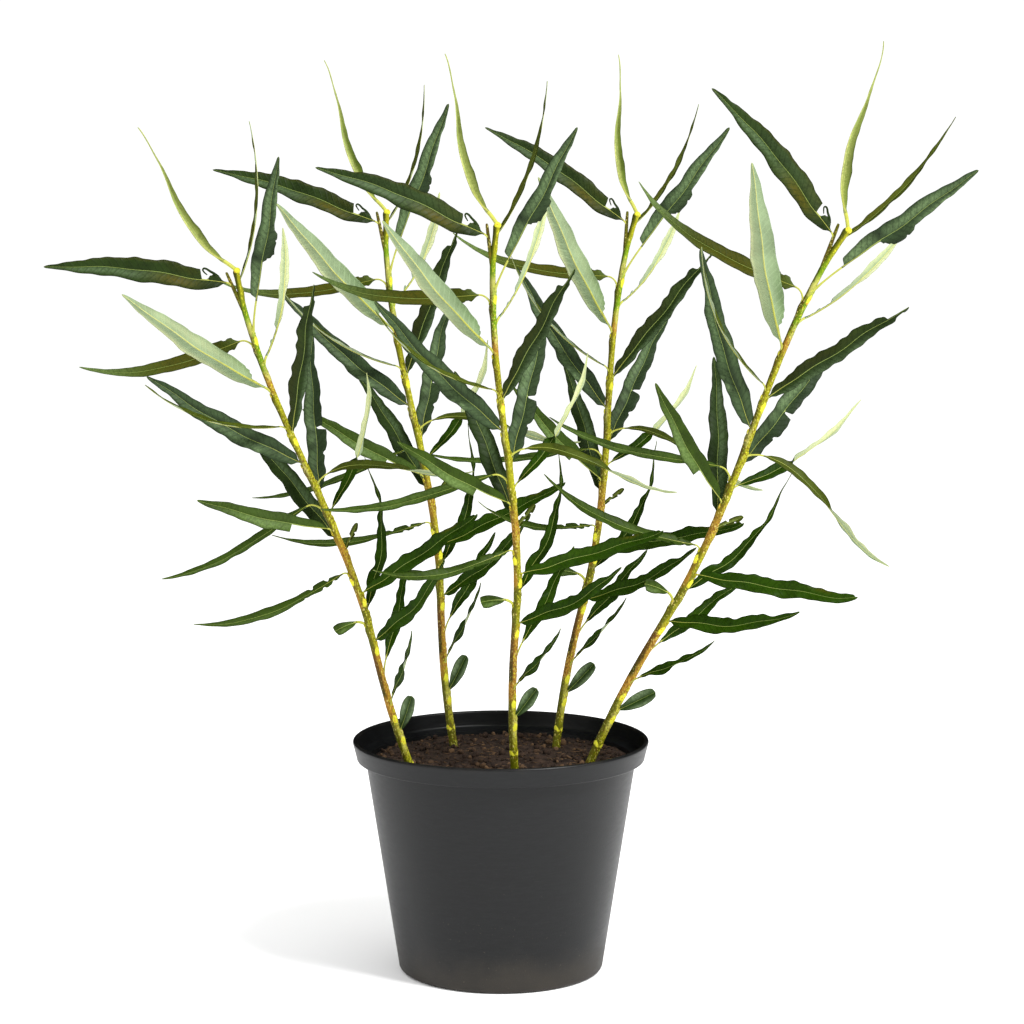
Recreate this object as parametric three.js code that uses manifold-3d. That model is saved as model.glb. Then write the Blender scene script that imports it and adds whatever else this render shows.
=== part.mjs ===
// Potted common osier: five leafy shoots that fan out of a plain nursery pot.
// Millimetres, +Z up. The origin is the centre of the pot's flat underside, +X runs to the fan's
// right and +Y to its back. Every shoot repeats one pattern shoot, leaning and scaled, as a clump
// of cuttings from one mother plant does.
import * as THREE from "three";
import { mergeVertices } from "three/addons/utils/BufferGeometryUtils.js";
import Module from "manifold-3d";

const wasm = await Module();
wasm.setup();

const { Vector3, MathUtils } = THREE;

// Clearance between two solids that touch on the real plant.
const GAP = 0.3;

// A round nursery pot: a tapering body with a wider band round its top, which starts at bandFoot.
const POT = {
  height: 150,
  footRadius: 66,
  footEdge: 3,
  bodyTopRadius: 86.5,
  bandRadius: 92.5,
  bandFoot: 138,
  bandStep: 2,
  rimRadius: 95,
  lip: 2,
  wall: 2,
  floor: 3,
  sides: 36,
};
const DRAIN = { count: 8, radius: 4.5, ring: 46, sides: 12 };
const SOIL_LEVEL = 137;

// The pattern shoot, measured foot to tip bud.
const PATTERN_LENGTH = 374;
const CANE = { footRadius: 2.7, tipRadius: 1.5, sides: 8, step: 20 };
const SWAY = { side: 5.5, sideZero: 60, sideQuarter: 86, fade: 120, depth: 2.5, depthWave: 300 };
// Heights on the pattern shoot where the bare foot ends and each mass of leaves begins.
const MASSES = [
  { name: "lower_leaves", from: 28 },
  { name: "middle_leaves", from: 145 },
  { name: "upper_leaves", from: 243 },
];
// The top was pruned: a cut stub stays beside the side shoot that bears the last leaves.
const STUB = { ends: [{ at: 354, right: -0.5 }, { at: 374, right: -2.2 }], radius: 1.1, sides: 6 };

// foot: where the shoot leaves the soil. right, back: its lean in degrees.
// buried: how much of the pattern's foot is below the soil.
const SHOOTS = [
  { foot: [-57, -26], right: -18.2, back: -5, length: 345, buried: 12 },
  { foot: [-31, 36], right: -7.1, back: 8, length: 356, buried: 0 },
  { foot: [9, -40], right: -1.6, back: -7, length: 347, buried: 0 },
  { foot: [36, 32], right: 8.9, back: 7, length: 355, buried: 0 },
  { foot: [57, -14], right: 25.1, back: -4, length: 376, buried: 0 },
];

// One row for each leaf of the pattern shoot, from the foot up.
// at: height of its foot. reach: its tip to the right of the shoot's line. rise: its tip above its
// foot. depth: its tip behind the shoot. stalk: its bare stalk. bow: how far the lower and the
// upper third lie above the straight line. face: how far the upper side turns to the front, at the
// base and at the tip, where a negative number shows the underside. width: across its widest place.
const LEAVES = [
  { at: 34, reach: 17, rise: 27, depth: -8, stalk: 2, bow: [0, 0], face: [0.9, 0.9], width: 9.5 },
  { at: 50, reach: 31, rise: 61, depth: -38, stalk: 12, bow: [-2, -6], face: [0.9, 0.9], width: 8 },
  { at: 67, reach: 45, rise: 76, depth: 42, stalk: 20, bow: [0, -2], face: [0.8, 0.8], width: 9 },
  { at: 99, reach: 74, rise: 52, depth: -38, stalk: 4, bow: [-5, -7], face: [0.9, 0.8], width: 11 },
  { at: 113, reach: -18, rise: 2, depth: -5, stalk: 9, bow: [3, 0], face: [0.8, 0.8], width: 7 },
  { at: 120, reach: 37, rise: 100, depth: 24, stalk: 5, bow: [-13, -19], face: [0.6, 0.4], width: 8 },
  { at: 134, reach: 100, rise: 38, depth: -28, stalk: 4, bow: [0, -5], face: [0.9, 0.85], width: 11.5 },
  { at: 150, reach: -104, rise: 9, depth: -22, stalk: 6, bow: [-9, -16], face: [0.55, 0.5], width: 10 },
  { at: 166, reach: 19, rise: 18, depth: 6, stalk: 3, bow: [0, -2], face: [0.4, 0.2], width: 6 },
  { at: 172, reach: -34, rise: 92, depth: 52, stalk: 6, bow: [4, 0], face: [0.85, 0.8], width: 13 },
  { at: 181, reach: -72, rise: 60, depth: -40, stalk: 7, bow: [-3, -3], face: [0.95, 0.9], width: 12.5 },
  { at: 191, reach: 59, rise: 86, depth: 38, stalk: 8, bow: [-11, -15], face: [0.5, -0.5], width: 9 },
  { at: 199, reach: -119, rise: -12, depth: 16, stalk: 12, bow: [-4, -13], face: [0.5, 0.5], width: 10 },
  { at: 207, reach: 32, rise: 104, depth: 60, stalk: 6, bow: [4, 4], face: [0.9, 0.9], width: 14 },
  { at: 218, reach: 109, rise: -21, depth: -18, stalk: 11, bow: [17, -10], face: [0.6, -0.5], width: 9.5 },
  { at: 231, reach: -80, rise: 94, depth: -10, stalk: 5, bow: [-4, -4], face: [0.95, 0.9], width: 14 },
  { at: 254, reach: -80, rise: 72, depth: -44, stalk: 11, bow: [-13, -14], face: [0.3, 0.25], width: 10 },
  { at: 254, reach: 50, rise: 96, depth: -40, stalk: 4, bow: [1, 2], face: [0.85, 0.85], width: 12 },
  { at: 283, reach: -75, rise: 100, depth: -28, stalk: 9, bow: [-4, -2], face: [-0.95, -0.9], width: 16 },
  { at: 299, reach: 35, rise: 88, depth: 46, stalk: 12, bow: [-11, -11], face: [-0.6, -0.6], width: 10 },
  { at: 318, reach: -127, rise: 24, depth: 22, stalk: 11, bow: [-8, -18], face: [0.5, 0.65], width: 12 },
  { at: 326, reach: 51, rise: 109, depth: -16, stalk: 24, bow: [0, 0], face: [0.9, 0.9], width: 14 },
  { at: 357, reach: 35, rise: 105, depth: 40, stalk: 8, bow: [-14, -13], face: [0.5, 0.4], width: 9 },
  { at: 359, reach: -116, rise: 55, depth: -14, stalk: 8, bow: [2, 7], face: [0.95, 0.9], width: 16 },
  { at: 372, reach: -32, rise: 110, depth: 4, stalk: 8, bow: [-18, 5], face: [0.8, 0.5], width: 6.5 },
];
// A stalk leaves the cane at a share of the leaf's own angle, kept between two limits in degrees.
const STALK = { halfWidth: 0.75, halfThickness: 0.7, least: 25, most: 62, share: 0.6 };
const BLADE = {
  stations: [0.07, 0.28, 0.5, 0.72, 0.9, 1],
  basePower: 0.5,
  tipPower: 1.05,
  fold: 0.18,
  halfThickness: 0.0055,
  leastHalfThickness: 0.4,
  tipHalfWidth: 0.35,
  tipHalfThickness: 0.3,
};
const VARIETY = { seed: 7, length: 0.06, turn: 8 };
// A leaf that would touch another, or a cane, turns round its shoot until it is clear.
const CLEAR = {
  turns: [0, 6, -6, 12, -12, 18, -18, 24, -24, 30, -30, 36, -36],
  leaf: 5,
  cane: 7,
  ownCane: 5,
  ownFrom: 0.35,
  samples: 12,
  first: 0.1,
  across: 0.8,
  caneStep: 5,
};

// A small seeded generator of numbers from 0 to 1.
function seeded(seed) {
  let state = seed >>> 0;
  return () => {
    state = (Math.imul(state, 1664525) + 1013904223) >>> 0;
    return state / 4294967296;
  };
}

// The cane's own line, in the pattern's frame: it sways from side to side as it grows.
function sway(height) {
  const fade = Math.min(1, height / SWAY.fade);
  const side = Math.sin(((height - SWAY.sideZero) / SWAY.sideQuarter) * (Math.PI / 2));
  return [
    SWAY.side * fade * side,
    SWAY.depth * fade * Math.sin((2 * Math.PI * height) / SWAY.depthWave),
  ];
}

function caneRadius(height) {
  return MathUtils.lerp(CANE.footRadius, CANE.tipRadius, height / PATTERN_LENGTH);
}

// Where a shoot stands: its axes, and a function from the pattern's frame to the part's.
function shootFrame(shoot) {
  const along = new Vector3(
    Math.tan(MathUtils.degToRad(shoot.right)),
    Math.tan(MathUtils.degToRad(shoot.back)),
    1,
  ).normalize();
  const side = new Vector3(along.z, 0, -along.x).normalize();
  const back = new Vector3().crossVectors(along, side);
  const scale = shoot.length / PATTERN_LENGTH;
  const foot = new Vector3(shoot.foot[0], shoot.foot[1], SOIL_LEVEL + GAP);
  const place = (right, depth, height) =>
    foot
      .clone()
      .addScaledVector(side, right * scale)
      .addScaledVector(back, depth * scale)
      .addScaledVector(along, (height - shoot.buried) * scale);
  return { along, side, back, scale, place, foot, buried: shoot.buried };
}

function canePoint(frame, height) {
  const [right, depth] = sway(height);
  return frame.place(right, depth, height);
}

// A closed solid through rings of points. Every ring has the same number of points.
function loft(rings) {
  const count = rings[0].length;
  const positions = rings.flat().flatMap((p) => [p.x, p.y, p.z]);
  const index = [];
  for (let r = 0; r + 1 < rings.length; r++) {
    for (let i = 0; i < count; i++) {
      const a = r * count + i;
      const b = r * count + ((i + 1) % count);
      index.push(a, b, a + count, b, b + count, a + count);
    }
  }
  const last = (rings.length - 1) * count;
  for (let i = 1; i + 1 < count; i++) {
    index.push(0, i + 1, i);
    index.push(last, last + i, last + i + 1);
  }
  const geometry = new THREE.BufferGeometry();
  geometry.setAttribute("position", new THREE.Float32BufferAttribute(positions, 3));
  geometry.setIndex(index);
  return geometry;
}

// A three.js geometry as a solid that can be joined and cut, with its faces pointing out.
function solidOf(geometry) {
  const bare = geometry.clone();
  bare.deleteAttribute("normal");
  bare.deleteAttribute("uv");
  const merged = mergeVertices(bare, 1e-4);
  const make = (triVerts) =>
    new wasm.Manifold(
      new wasm.Mesh({
        numProp: 3,
        vertProperties: new Float32Array(merged.attributes.position.array),
        triVerts,
      }),
    );
  const solid = make(new Uint32Array(merged.index.array));
  return solid.volume() > 0 ? solid : make(new Uint32Array(merged.index.array).reverse());
}

function geometryOf(solid) {
  const mesh = solid.getMesh();
  const geometry = new THREE.BufferGeometry();
  geometry.setAttribute("position", new THREE.BufferAttribute(mesh.vertProperties, 3));
  geometry.setIndex(new THREE.BufferAttribute(mesh.triVerts, 1));
  geometry.computeVertexNormals();
  return geometry;
}

function ringAround(centre, across, over, radius, sides) {
  return Array.from({ length: sides }, (_, i) => {
    const angle = (2 * Math.PI * i) / sides;
    return centre
      .clone()
      .addScaledVector(across, radius * Math.cos(angle))
      .addScaledVector(over, radius * Math.sin(angle));
  });
}

// A stretch of a cane. The lowest one ends in a flat cut at the soil.
function caneStretch(frame, from, to) {
  const steps = Math.max(2, Math.round((to - from) / CANE.step));
  const rings = [];
  for (let i = 0; i <= steps; i++) {
    const height = MathUtils.lerp(from, to, i / steps);
    const radius = caneRadius(height) * frame.scale;
    rings.push(ringAround(canePoint(frame, height), frame.side, frame.back, radius, CANE.sides));
  }
  if (from <= frame.buried) {
    for (const point of rings[0]) {
      point.addScaledVector(frame.along, (frame.foot.z - point.z) / frame.along.z);
    }
  }
  return solidOf(loft(rings));
}

function stubSolid(frame) {
  const [right, depth] = sway(STUB.ends[0].at);
  const rings = STUB.ends.map((end) => {
    const centre = frame.place(right + end.right, depth, end.at);
    return ringAround(centre, frame.side, frame.back, STUB.radius * frame.scale, STUB.sides);
  });
  return solidOf(loft(rings));
}

// The line, facing and size of one leaf on one shoot, turned round the shoot by some degrees.
function leafLine(frame, leaf, turn, stretch) {
  const [footRight, footDepth] = sway(leaf.at);
  const radians = MathUtils.degToRad(turn);
  const right = (leaf.reach - footRight) * stretch;
  const depth = (leaf.depth - footDepth) * stretch;
  const turned = [
    right * Math.cos(radians) - depth * Math.sin(radians),
    right * Math.sin(radians) + depth * Math.cos(radians),
  ];
  const out = frame.side
    .clone()
    .multiplyScalar(turned[0])
    .addScaledVector(frame.back, turned[1])
    .normalize();
  const outward = Math.hypot(turned[0], turned[1]);
  const rise = leaf.rise * stretch;
  const foot = canePoint(frame, leaf.at);
  const tip = foot
    .clone()
    .addScaledVector(out, outward * frame.scale)
    .addScaledVector(frame.along, rise * frame.scale);
  const spread = MathUtils.radToDeg(Math.atan2(outward, rise));
  const leave = MathUtils.degToRad(
    MathUtils.clamp(spread * STALK.share, STALK.least, STALK.most),
  );
  const size = tip.distanceTo(foot);
  const stalk = (caneRadius(leaf.at) + leaf.stalk * stretch) * frame.scale;
  const base = foot
    .clone()
    .addScaledVector(frame.along, stalk * Math.cos(leave))
    .addScaledVector(out, stalk * Math.sin(leave));
  const chord = tip.clone().sub(base);
  const over = frame.along
    .clone()
    .addScaledVector(chord, -frame.along.dot(chord) / chord.lengthSq())
    .normalize();
  const lower = base
    .clone()
    .addScaledVector(chord, 1 / 3)
    .addScaledVector(over, leaf.bow[0] * frame.scale);
  const upper = base
    .clone()
    .addScaledVector(chord, 2 / 3)
    .addScaledVector(over, leaf.bow[1] * frame.scale);
  const curve = new THREE.CubicBezierCurve3(base, lower, upper, tip);
  return { frame, leaf, foot, base, curve, size, scale: frame.scale * stretch };
}

// The way along the leaf, the way its upper side faces, and the way across it.
function leafAxes(line, t) {
  const tangent = line.curve.getTangent(t);
  const face = MathUtils.lerp(line.leaf.face[0], line.leaf.face[1], t);
  const normal = line.frame.back
    .clone()
    .multiplyScalar(-face)
    .addScaledVector(line.frame.along, Math.sqrt(1 - face * face));
  normal.addScaledVector(tangent, -normal.dot(tangent)).normalize();
  return { tangent, normal, across: new Vector3().crossVectors(tangent, normal) };
}

function bladeHalfWidth(line, t) {
  const { basePower: a, tipPower: b } = BLADE;
  const peak = a / (a + b);
  const shape = (t / peak) ** a * ((1 - t) / (1 - peak)) ** b;
  return Math.max(BLADE.tipHalfWidth, (line.leaf.width / 2) * line.scale * shape);
}

function leafRing(centre, axes, halfWidth, halfThickness, fold) {
  const edge = (side) =>
    centre
      .clone()
      .addScaledVector(axes.across, side * halfWidth)
      .addScaledVector(axes.normal, fold * halfWidth);
  return [
    edge(1),
    centre.clone().addScaledVector(axes.normal, halfThickness),
    edge(-1),
    centre.clone().addScaledVector(axes.normal, -halfThickness),
  ];
}

function leafSolid(line) {
  const axes = leafAxes(line, 0);
  const { halfWidth, halfThickness } = STALK;
  const fullThickness = Math.max(BLADE.leastHalfThickness, line.size * BLADE.halfThickness);
  const rings = [
    leafRing(line.foot, axes, halfWidth, halfThickness, 0),
    leafRing(line.base, axes, halfWidth, halfThickness, 0),
  ];
  for (const t of BLADE.stations) {
    const thickness = MathUtils.lerp(fullThickness, BLADE.tipHalfThickness, Math.max(0, 2 * t - 1));
    rings.push(
      leafRing(
        line.curve.getPoint(t),
        leafAxes(line, t),
        bladeHalfWidth(line, t),
        thickness,
        BLADE.fold,
      ),
    );
  }
  return solidOf(loft(rings));
}

// Points down the middle and near both margins, for telling whether a leaf is clear.
function leafSamples(line) {
  const points = [];
  for (let i = 0; i < CLEAR.samples; i++) {
    const t = CLEAR.first + ((1 - CLEAR.first) * i) / (CLEAR.samples - 1);
    const centre = line.curve.getPoint(t);
    const { across } = leafAxes(line, t);
    const reach = bladeHalfWidth(line, t) * CLEAR.across;
    for (const side of [-1, 0, 1]) {
      points.push({ t, at: centre.clone().addScaledVector(across, side * reach) });
    }
  }
  return points;
}

// How much room a leaf has beyond what it needs, in millimetres.
function room(samples, placed, canes, own) {
  let least = Infinity;
  for (const { t, at } of samples) {
    for (const other of placed) {
      least = Math.min(least, at.distanceTo(other) - CLEAR.leaf);
    }
    canes.forEach((cane, i) => {
      if (i === own && t < CLEAR.ownFrom) return;
      const need = i === own ? CLEAR.ownCane : CLEAR.cane;
      for (const point of cane) {
        least = Math.min(least, at.distanceTo(point) - need);
      }
    });
  }
  return least;
}

function growLeaves(frames) {
  const random = seeded(VARIETY.seed);
  const count = Math.floor(PATTERN_LENGTH / CLEAR.caneStep) + 1;
  const canes = frames.map((frame) =>
    Array.from({ length: count }, (_, i) => canePoint(frame, i * CLEAR.caneStep)),
  );
  const placed = [];
  return frames.map((frame, own) =>
    LEAVES.map((leaf) => {
      const stretch = 1 + VARIETY.length * (random() - 0.5);
      const turn = VARIETY.turn * (random() - 0.5);
      let best = null;
      for (const extra of CLEAR.turns) {
        const line = leafLine(frame, leaf, turn + extra, stretch);
        const samples = leafSamples(line);
        const space = room(samples, placed, canes, own);
        if (!best || space > best.space) best = { line, samples, space };
        if (space > 0) break;
      }
      placed.push(...best.samples.map((sample) => sample.at));
      return best.line;
    }),
  );
}

function latheSolid(profile, sides) {
  const points = profile.map(([radius, z]) => new THREE.Vector2(radius, z));
  return solidOf(new THREE.LatheGeometry(points, sides).rotateX(Math.PI / 2));
}

// Where the inside of the pot lies: its radius at the floor and where the body meets the band.
const BOWL = {
  footRadius: POT.footRadius - 2 * POT.wall,
  foot: POT.floor + POT.wall,
  topRadius: POT.bodyTopRadius - POT.wall,
};

function potSolid() {
  const { height, bandFoot, bandRadius, bandStep, rimRadius, lip, wall, floor } = POT;
  const shell = latheSolid(
    [
      [0, 0],
      [POT.footRadius - POT.footEdge, 0],
      [POT.footRadius, POT.footEdge],
      [POT.bodyTopRadius, bandFoot - bandStep],
      [bandRadius, bandFoot],
      [rimRadius, height - lip],
      [rimRadius - lip / 2, height],
      [rimRadius - lip / 2 - wall, height],
      [bandRadius - wall, bandFoot + wall + 1],
      [BOWL.topRadius, bandFoot],
      [BOWL.footRadius, BOWL.foot],
      [BOWL.footRadius - wall, floor],
      [0, floor],
    ],
    POT.sides,
  );
  const drains = Array.from({ length: DRAIN.count }, (_, i) => {
    const angle = (2 * Math.PI * (i + 0.5)) / DRAIN.count;
    return solidOf(
      new THREE.CylinderGeometry(DRAIN.radius, DRAIN.radius, 4 * floor, DRAIN.sides)
        .rotateX(Math.PI / 2)
        .translate(DRAIN.ring * Math.cos(angle), DRAIN.ring * Math.sin(angle), 0),
    );
  });
  return shell.subtract(wasm.Manifold.union(drains));
}

// The compost fills the bowl up to its own level, clear of the wall all round.
function soilSolid() {
  const clear = 1.4 * GAP;
  const slope = (BOWL.topRadius - BOWL.footRadius) / (POT.bandFoot - BOWL.foot);
  const radiusAt = (z) => BOWL.footRadius + slope * (z - BOWL.foot) - clear;
  return latheSolid(
    [
      [0, POT.floor + GAP],
      [BOWL.footRadius - POT.wall - clear, POT.floor + GAP],
      [radiusAt(BOWL.foot + GAP), BOWL.foot + GAP],
      [radiusAt(SOIL_LEVEL), SOIL_LEVEL],
      [0, SOIL_LEVEL],
    ],
    POT.sides,
  );
}

const plastic = new THREE.MeshStandardMaterial({ color: 0x2a2b2c, roughness: 0.62, metalness: 0 });
const compost = new THREE.MeshStandardMaterial({ color: 0x2e2119, roughness: 1, metalness: 0 });
const bark = new THREE.MeshStandardMaterial({ color: 0x8f8f2e, roughness: 0.6, metalness: 0 });
const foliage = new THREE.MeshStandardMaterial({ color: 0x2f5527, roughness: 0.5, metalness: 0 });

const plant = new THREE.Group();

function addPart(name, solid, material) {
  const mesh = new THREE.Mesh(geometryOf(solid), material);
  mesh.name = name;
  plant.add(mesh);
}

addPart("pot", potSolid(), plastic);
addPart("soil", soilSolid(), compost);

const frames = SHOOTS.map(shootFrame);
const foliageOf = growLeaves(frames);
frames.forEach((frame, i) => {
  addPart(`stem_${i + 1}`, caneStretch(frame, frame.buried, MASSES[0].from), bark);
  MASSES.forEach(({ name, from }, m) => {
    const isTop = m === MASSES.length - 1;
    const to = isTop ? PATTERN_LENGTH : MASSES[m + 1].from;
    const leaves = foliageOf[i].filter((line) => line.leaf.at >= from && line.leaf.at < to);
    const pieces = leaves.map(leafSolid);
    pieces.push(caneStretch(frame, from + GAP / frame.scale, to));
    if (isTop) pieces.push(stubSolid(frame));
    addPart(`${name}_${i + 1}`, wasm.Manifold.union(pieces), foliage);
  });
});

export default plant;
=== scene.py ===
"""Potted common osier: the looks of five leafy willow shoots in a plain nursery pot.

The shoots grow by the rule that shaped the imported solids, written again here, and are carried on
to stalks, midribs, wavy margins, buds and bark. Lengths are millimetres until a mesh is made.
"""

import functools
import math
from collections import namedtuple

import bmesh
import bpy
import numpy as np
from bpy.props import FloatProperty, FloatVectorProperty, IntProperty, PointerProperty
from bpy.types import Operator, Panel, PropertyGroup
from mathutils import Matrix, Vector, noise


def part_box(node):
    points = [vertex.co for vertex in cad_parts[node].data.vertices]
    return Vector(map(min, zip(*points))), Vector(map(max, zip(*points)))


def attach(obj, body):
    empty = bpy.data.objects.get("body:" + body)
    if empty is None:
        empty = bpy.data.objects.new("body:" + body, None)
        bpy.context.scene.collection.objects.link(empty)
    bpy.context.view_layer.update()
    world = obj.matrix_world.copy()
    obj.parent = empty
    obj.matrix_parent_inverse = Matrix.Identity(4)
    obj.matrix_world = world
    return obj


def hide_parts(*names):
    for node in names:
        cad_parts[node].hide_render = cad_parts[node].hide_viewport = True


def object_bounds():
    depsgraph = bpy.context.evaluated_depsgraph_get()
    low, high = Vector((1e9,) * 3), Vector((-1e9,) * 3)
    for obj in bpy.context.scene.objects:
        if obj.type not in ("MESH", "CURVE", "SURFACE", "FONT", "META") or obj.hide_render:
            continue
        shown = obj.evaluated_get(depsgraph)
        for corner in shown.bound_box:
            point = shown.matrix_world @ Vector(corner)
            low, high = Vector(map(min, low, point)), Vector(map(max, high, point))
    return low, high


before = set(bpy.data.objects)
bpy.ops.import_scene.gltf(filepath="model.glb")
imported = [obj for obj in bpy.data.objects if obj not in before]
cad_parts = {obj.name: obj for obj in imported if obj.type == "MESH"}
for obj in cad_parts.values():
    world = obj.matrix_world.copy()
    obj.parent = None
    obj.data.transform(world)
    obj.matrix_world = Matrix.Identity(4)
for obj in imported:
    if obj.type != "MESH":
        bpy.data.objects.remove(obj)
CAD_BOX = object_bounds()

bl_info = {
    "name": "Potted common osier",
    "version": (1, 0, 0),
    "blender": (4, 5, 0),
    "location": "View3D > Sidebar > Osier",
    "description": "Leafy willow shoots in a plain nursery pot, built round a packed model",
    "category": "Add Mesh",
}

MM = 0.001
RIGHT, BACK, UP = np.eye(3)

# The pot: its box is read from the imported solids, and its other sizes are theirs too. The solids
# lie the gap apart.
POT_HIGH = np.array(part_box("pot")[1]) / MM
SOIL_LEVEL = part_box("soil")[1].z / MM
GAP = 0.3
POT_HEIGHT = POT_HIGH[2]
RIM_RADIUS = POT_HIGH[0]
FOOT_RADIUS = 66
BODY_TOP_RADIUS = 86.5
BAND_RADIUS = 92.5
BAND_FOOT = 138
WALL = 2
FLOOR = 3
FOOT_ROUND, LIP = 3, 1.5
BOWL_FOOT_RADIUS = FOOT_RADIUS - 2 * WALL
BOWL_FOOT = FLOOR + WALL
BOWL_TOP_RADIUS = BODY_TOP_RADIUS - WALL
DRAINS = {"count": 8, "radius": 4.5, "ring": 46, "sides": 32}
# A turned form starts and ends this far from its axis.
AXIS_RADIUS = 0.4

# The compost: its room to the pot's wall, how far up the bowl it comes, its fineness, and how its
# surface settles towards the wall.
SOIL_CLEAR = 1.4 * GAP
UP_BOWL = (SOIL_LEVEL - BOWL_FOOT) / (BAND_FOOT - BOWL_FOOT)
BOWL_WIDENS = BOWL_TOP_RADIUS - BOWL_FOOT_RADIUS
SOIL_TOP_RADIUS = BOWL_FOOT_RADIUS + BOWL_WIDENS * UP_BOWL - SOIL_CLEAR
SOIL_SIDES, SOIL_RINGS = 200, 80
SOIL_EDGE = {"smooth": 4, "reach": 12, "depth": 1.2}
# A crumb's size is the least one and a share of the range. Above the large size it is a finer ball.
CRUMB = {
    "least": 0.35,
    "range": 1.9,
    "large": 0.9,
    "from_wall": 3.5,
    "stretch": (0.6, 1.3),
    "lumps": 0.35,
    "up": 0.35,
}
FIBRE = {
    "count": 170,
    "rings": 6,
    "sides": 5,
    "from_wall": 8,
    "length": (3, 9),
    "bend": (-0.9, 0.9),
    "half_width": 0.22,
    "least": 0.05,
    "up": 0.35,
}

# The pattern shoot, measured foot to tip bud.
PATTERN_LENGTH = 374
CANE_FOOT_RADIUS = 2.7
CANE_TIP_RADIUS = 1.5
SWAY = {"side": 5.5, "zero": 60, "quarter": 86, "fade": 120, "depth": 2.5, "depth_wave": 300}
MASSES = ("lower_leaves", "middle_leaves", "upper_leaves")

# foot: where the shoot leaves the soil. right, back: its lean in degrees. length: the whole
# shoot's. buried: how much of the pattern's foot is below the soil.
Stand = namedtuple("Stand", "foot right back length buried")
STANDS = [
    Stand((-57, -26), -18.2, -5, 345, 12),
    Stand((-31, 36), -7.1, 8, 356, 0),
    Stand((9, -40), -1.6, -7, 347, 0),
    Stand((36, 32), 8.9, 7, 355, 0),
    Stand((57, -14), 25.1, -4, 376, 0),
]

# One row for each leaf of the pattern shoot, from the foot up.
# at: height of its foot. reach: its tip to the right of the shoot's line. rise: its tip above its
# foot. depth: its tip behind the shoot. stalk: its bare stalk. bow: how far the lower and the
# upper third lie above the straight line. face: how far the upper side turns to the front, at the
# base and at the tip. width: across its widest place. look: its upper side's finish.
# wave: how far its margins rise and fall.
Leaf = namedtuple("Leaf", "name at reach rise depth stalk bow face width look wave")
LEAVES = [
    Leaf("R1", 34, 17, 27, -8, 2, (0, 0), (0.9, 0.9), 9.5, "satin", 0.2),
    Leaf("R2", 50, 31, 61, -38, 12, (-2, -6), (0.9, 0.9), 8, "deep", 1.0),
    Leaf("R3", 67, 45, 76, 42, 20, (0, -2), (0.8, 0.8), 9, "deep", 1.0),
    Leaf("R4", 99, 74, 52, -38, 4, (-5, -7), (0.9, 0.8), 11, "deep", 1.3),
    Leaf("L10", 113, -18, 2, -5, 9, (3, 0), (0.8, 0.8), 7, "fresh", 0.5),
    Leaf("R5", 120, 37, 100, 24, 5, (-13, -19), (0.6, 0.4), 8, "deep", 1.4),
    Leaf("R6", 134, 100, 38, -28, 4, (0, -5), (0.9, 0.85), 11.5, "deep", 1.2),
    Leaf("L9", 150, -104, 9, -22, 6, (-9, -16), (0.55, 0.5), 10, "fresh", 0.4),
    Leaf("R7", 166, 19, 18, 6, 3, (0, -2), (0.4, 0.2), 6, "olive", 0.5),
    Leaf("L6", 172, -34, 92, 52, 6, (4, 0), (0.85, 0.8), 13, "dull", 0.7),
    Leaf("L7", 181, -72, 60, -40, 7, (-3, -3), (0.95, 0.9), 12.5, "fresh", 0.5),
    Leaf("R8", 191, 59, 86, 38, 8, (-11, -15), (0.5, -0.5), 9, "deep", 0.8),
    Leaf("L8", 199, -119, -12, 16, 12, (-4, -13), (0.5, 0.5), 10, "fresh", 0.4),
    Leaf("R10", 207, 32, 104, 60, 6, (4, 4), (0.9, 0.9), 14, "grey", 0.8),
    Leaf("R9", 218, 109, -21, -18, 11, (17, -10), (0.6, -0.5), 9.5, "olive", 0.6),
    Leaf("L5", 231, -80, 94, -10, 5, (-4, -4), (0.95, 0.9), 14, "grey", 0.7),
    Leaf("L4", 254, -80, 72, -44, 11, (-13, -14), (0.3, 0.25), 10, "olive", 0.4),
    Leaf("R11", 254, 50, 96, -40, 4, (1, 2), (0.85, 0.85), 12, "dull", 1.0),
    Leaf("L2", 283, -75, 100, -28, 9, (-4, -2), (-0.95, -0.9), 16, "grey", 0.5),
    Leaf("R12", 299, 35, 88, 46, 12, (-11, -11), (-0.6, -0.6), 10, "grey", 0.45),
    Leaf("L3", 318, -127, 24, 22, 11, (-8, -18), (0.5, 0.65), 12, "fresh", 0.35),
    Leaf("R13", 326, 51, 109, -16, 24, (0, 0), (0.9, 0.9), 14, "grey", 0.8),
    Leaf("R14", 357, 35, 105, 40, 8, (-14, -13), (0.5, 0.4), 9, "olive", 0.5),
    Leaf("L1", 359, -116, 55, -14, 8, (2, 7), (0.95, 0.9), 16, "dull", 0.7),
    Leaf("T1", 372, -32, 110, 4, 8, (-18, 5), (0.8, 0.5), 6.5, "young", 0.5),
]
# A stalk leaves the cane at a share of the leaf's own angle, kept between two limits in degrees.
STALK_LEAST, STALK_MOST, STALK_SHARE = 25, 62, 0.6
# A blade's shape in the solids: how it narrows towards its base and tip, and its least half width.
BASE_POWER, TIP_POWER, TIP_HALF_WIDTH = 0.5, 1.05, 0.35
# How much a leaf may differ from shoot to shoot, as a share of its length and in degrees.
VARIETY = {"seed": 7, "length": 0.06, "turn": 8}
# A leaf that would touch another, or a cane, turns round its shoot until it is clear. The turns
# are in degrees, and the room that it needs from each is in millimetres.
CLEAR = {
    "turns": (0, 6, -6, 12, -12, 18, -18, 24, -24, 30, -30, 36, -36),
    "leaf": 5,
    "cane": 7,
    "own_cane": 5,
    "own_from": 0.35,
    "samples": 12,
    "first": 0.1,
    "across": 0.8,
    "cane_step": 5,
}

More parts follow.
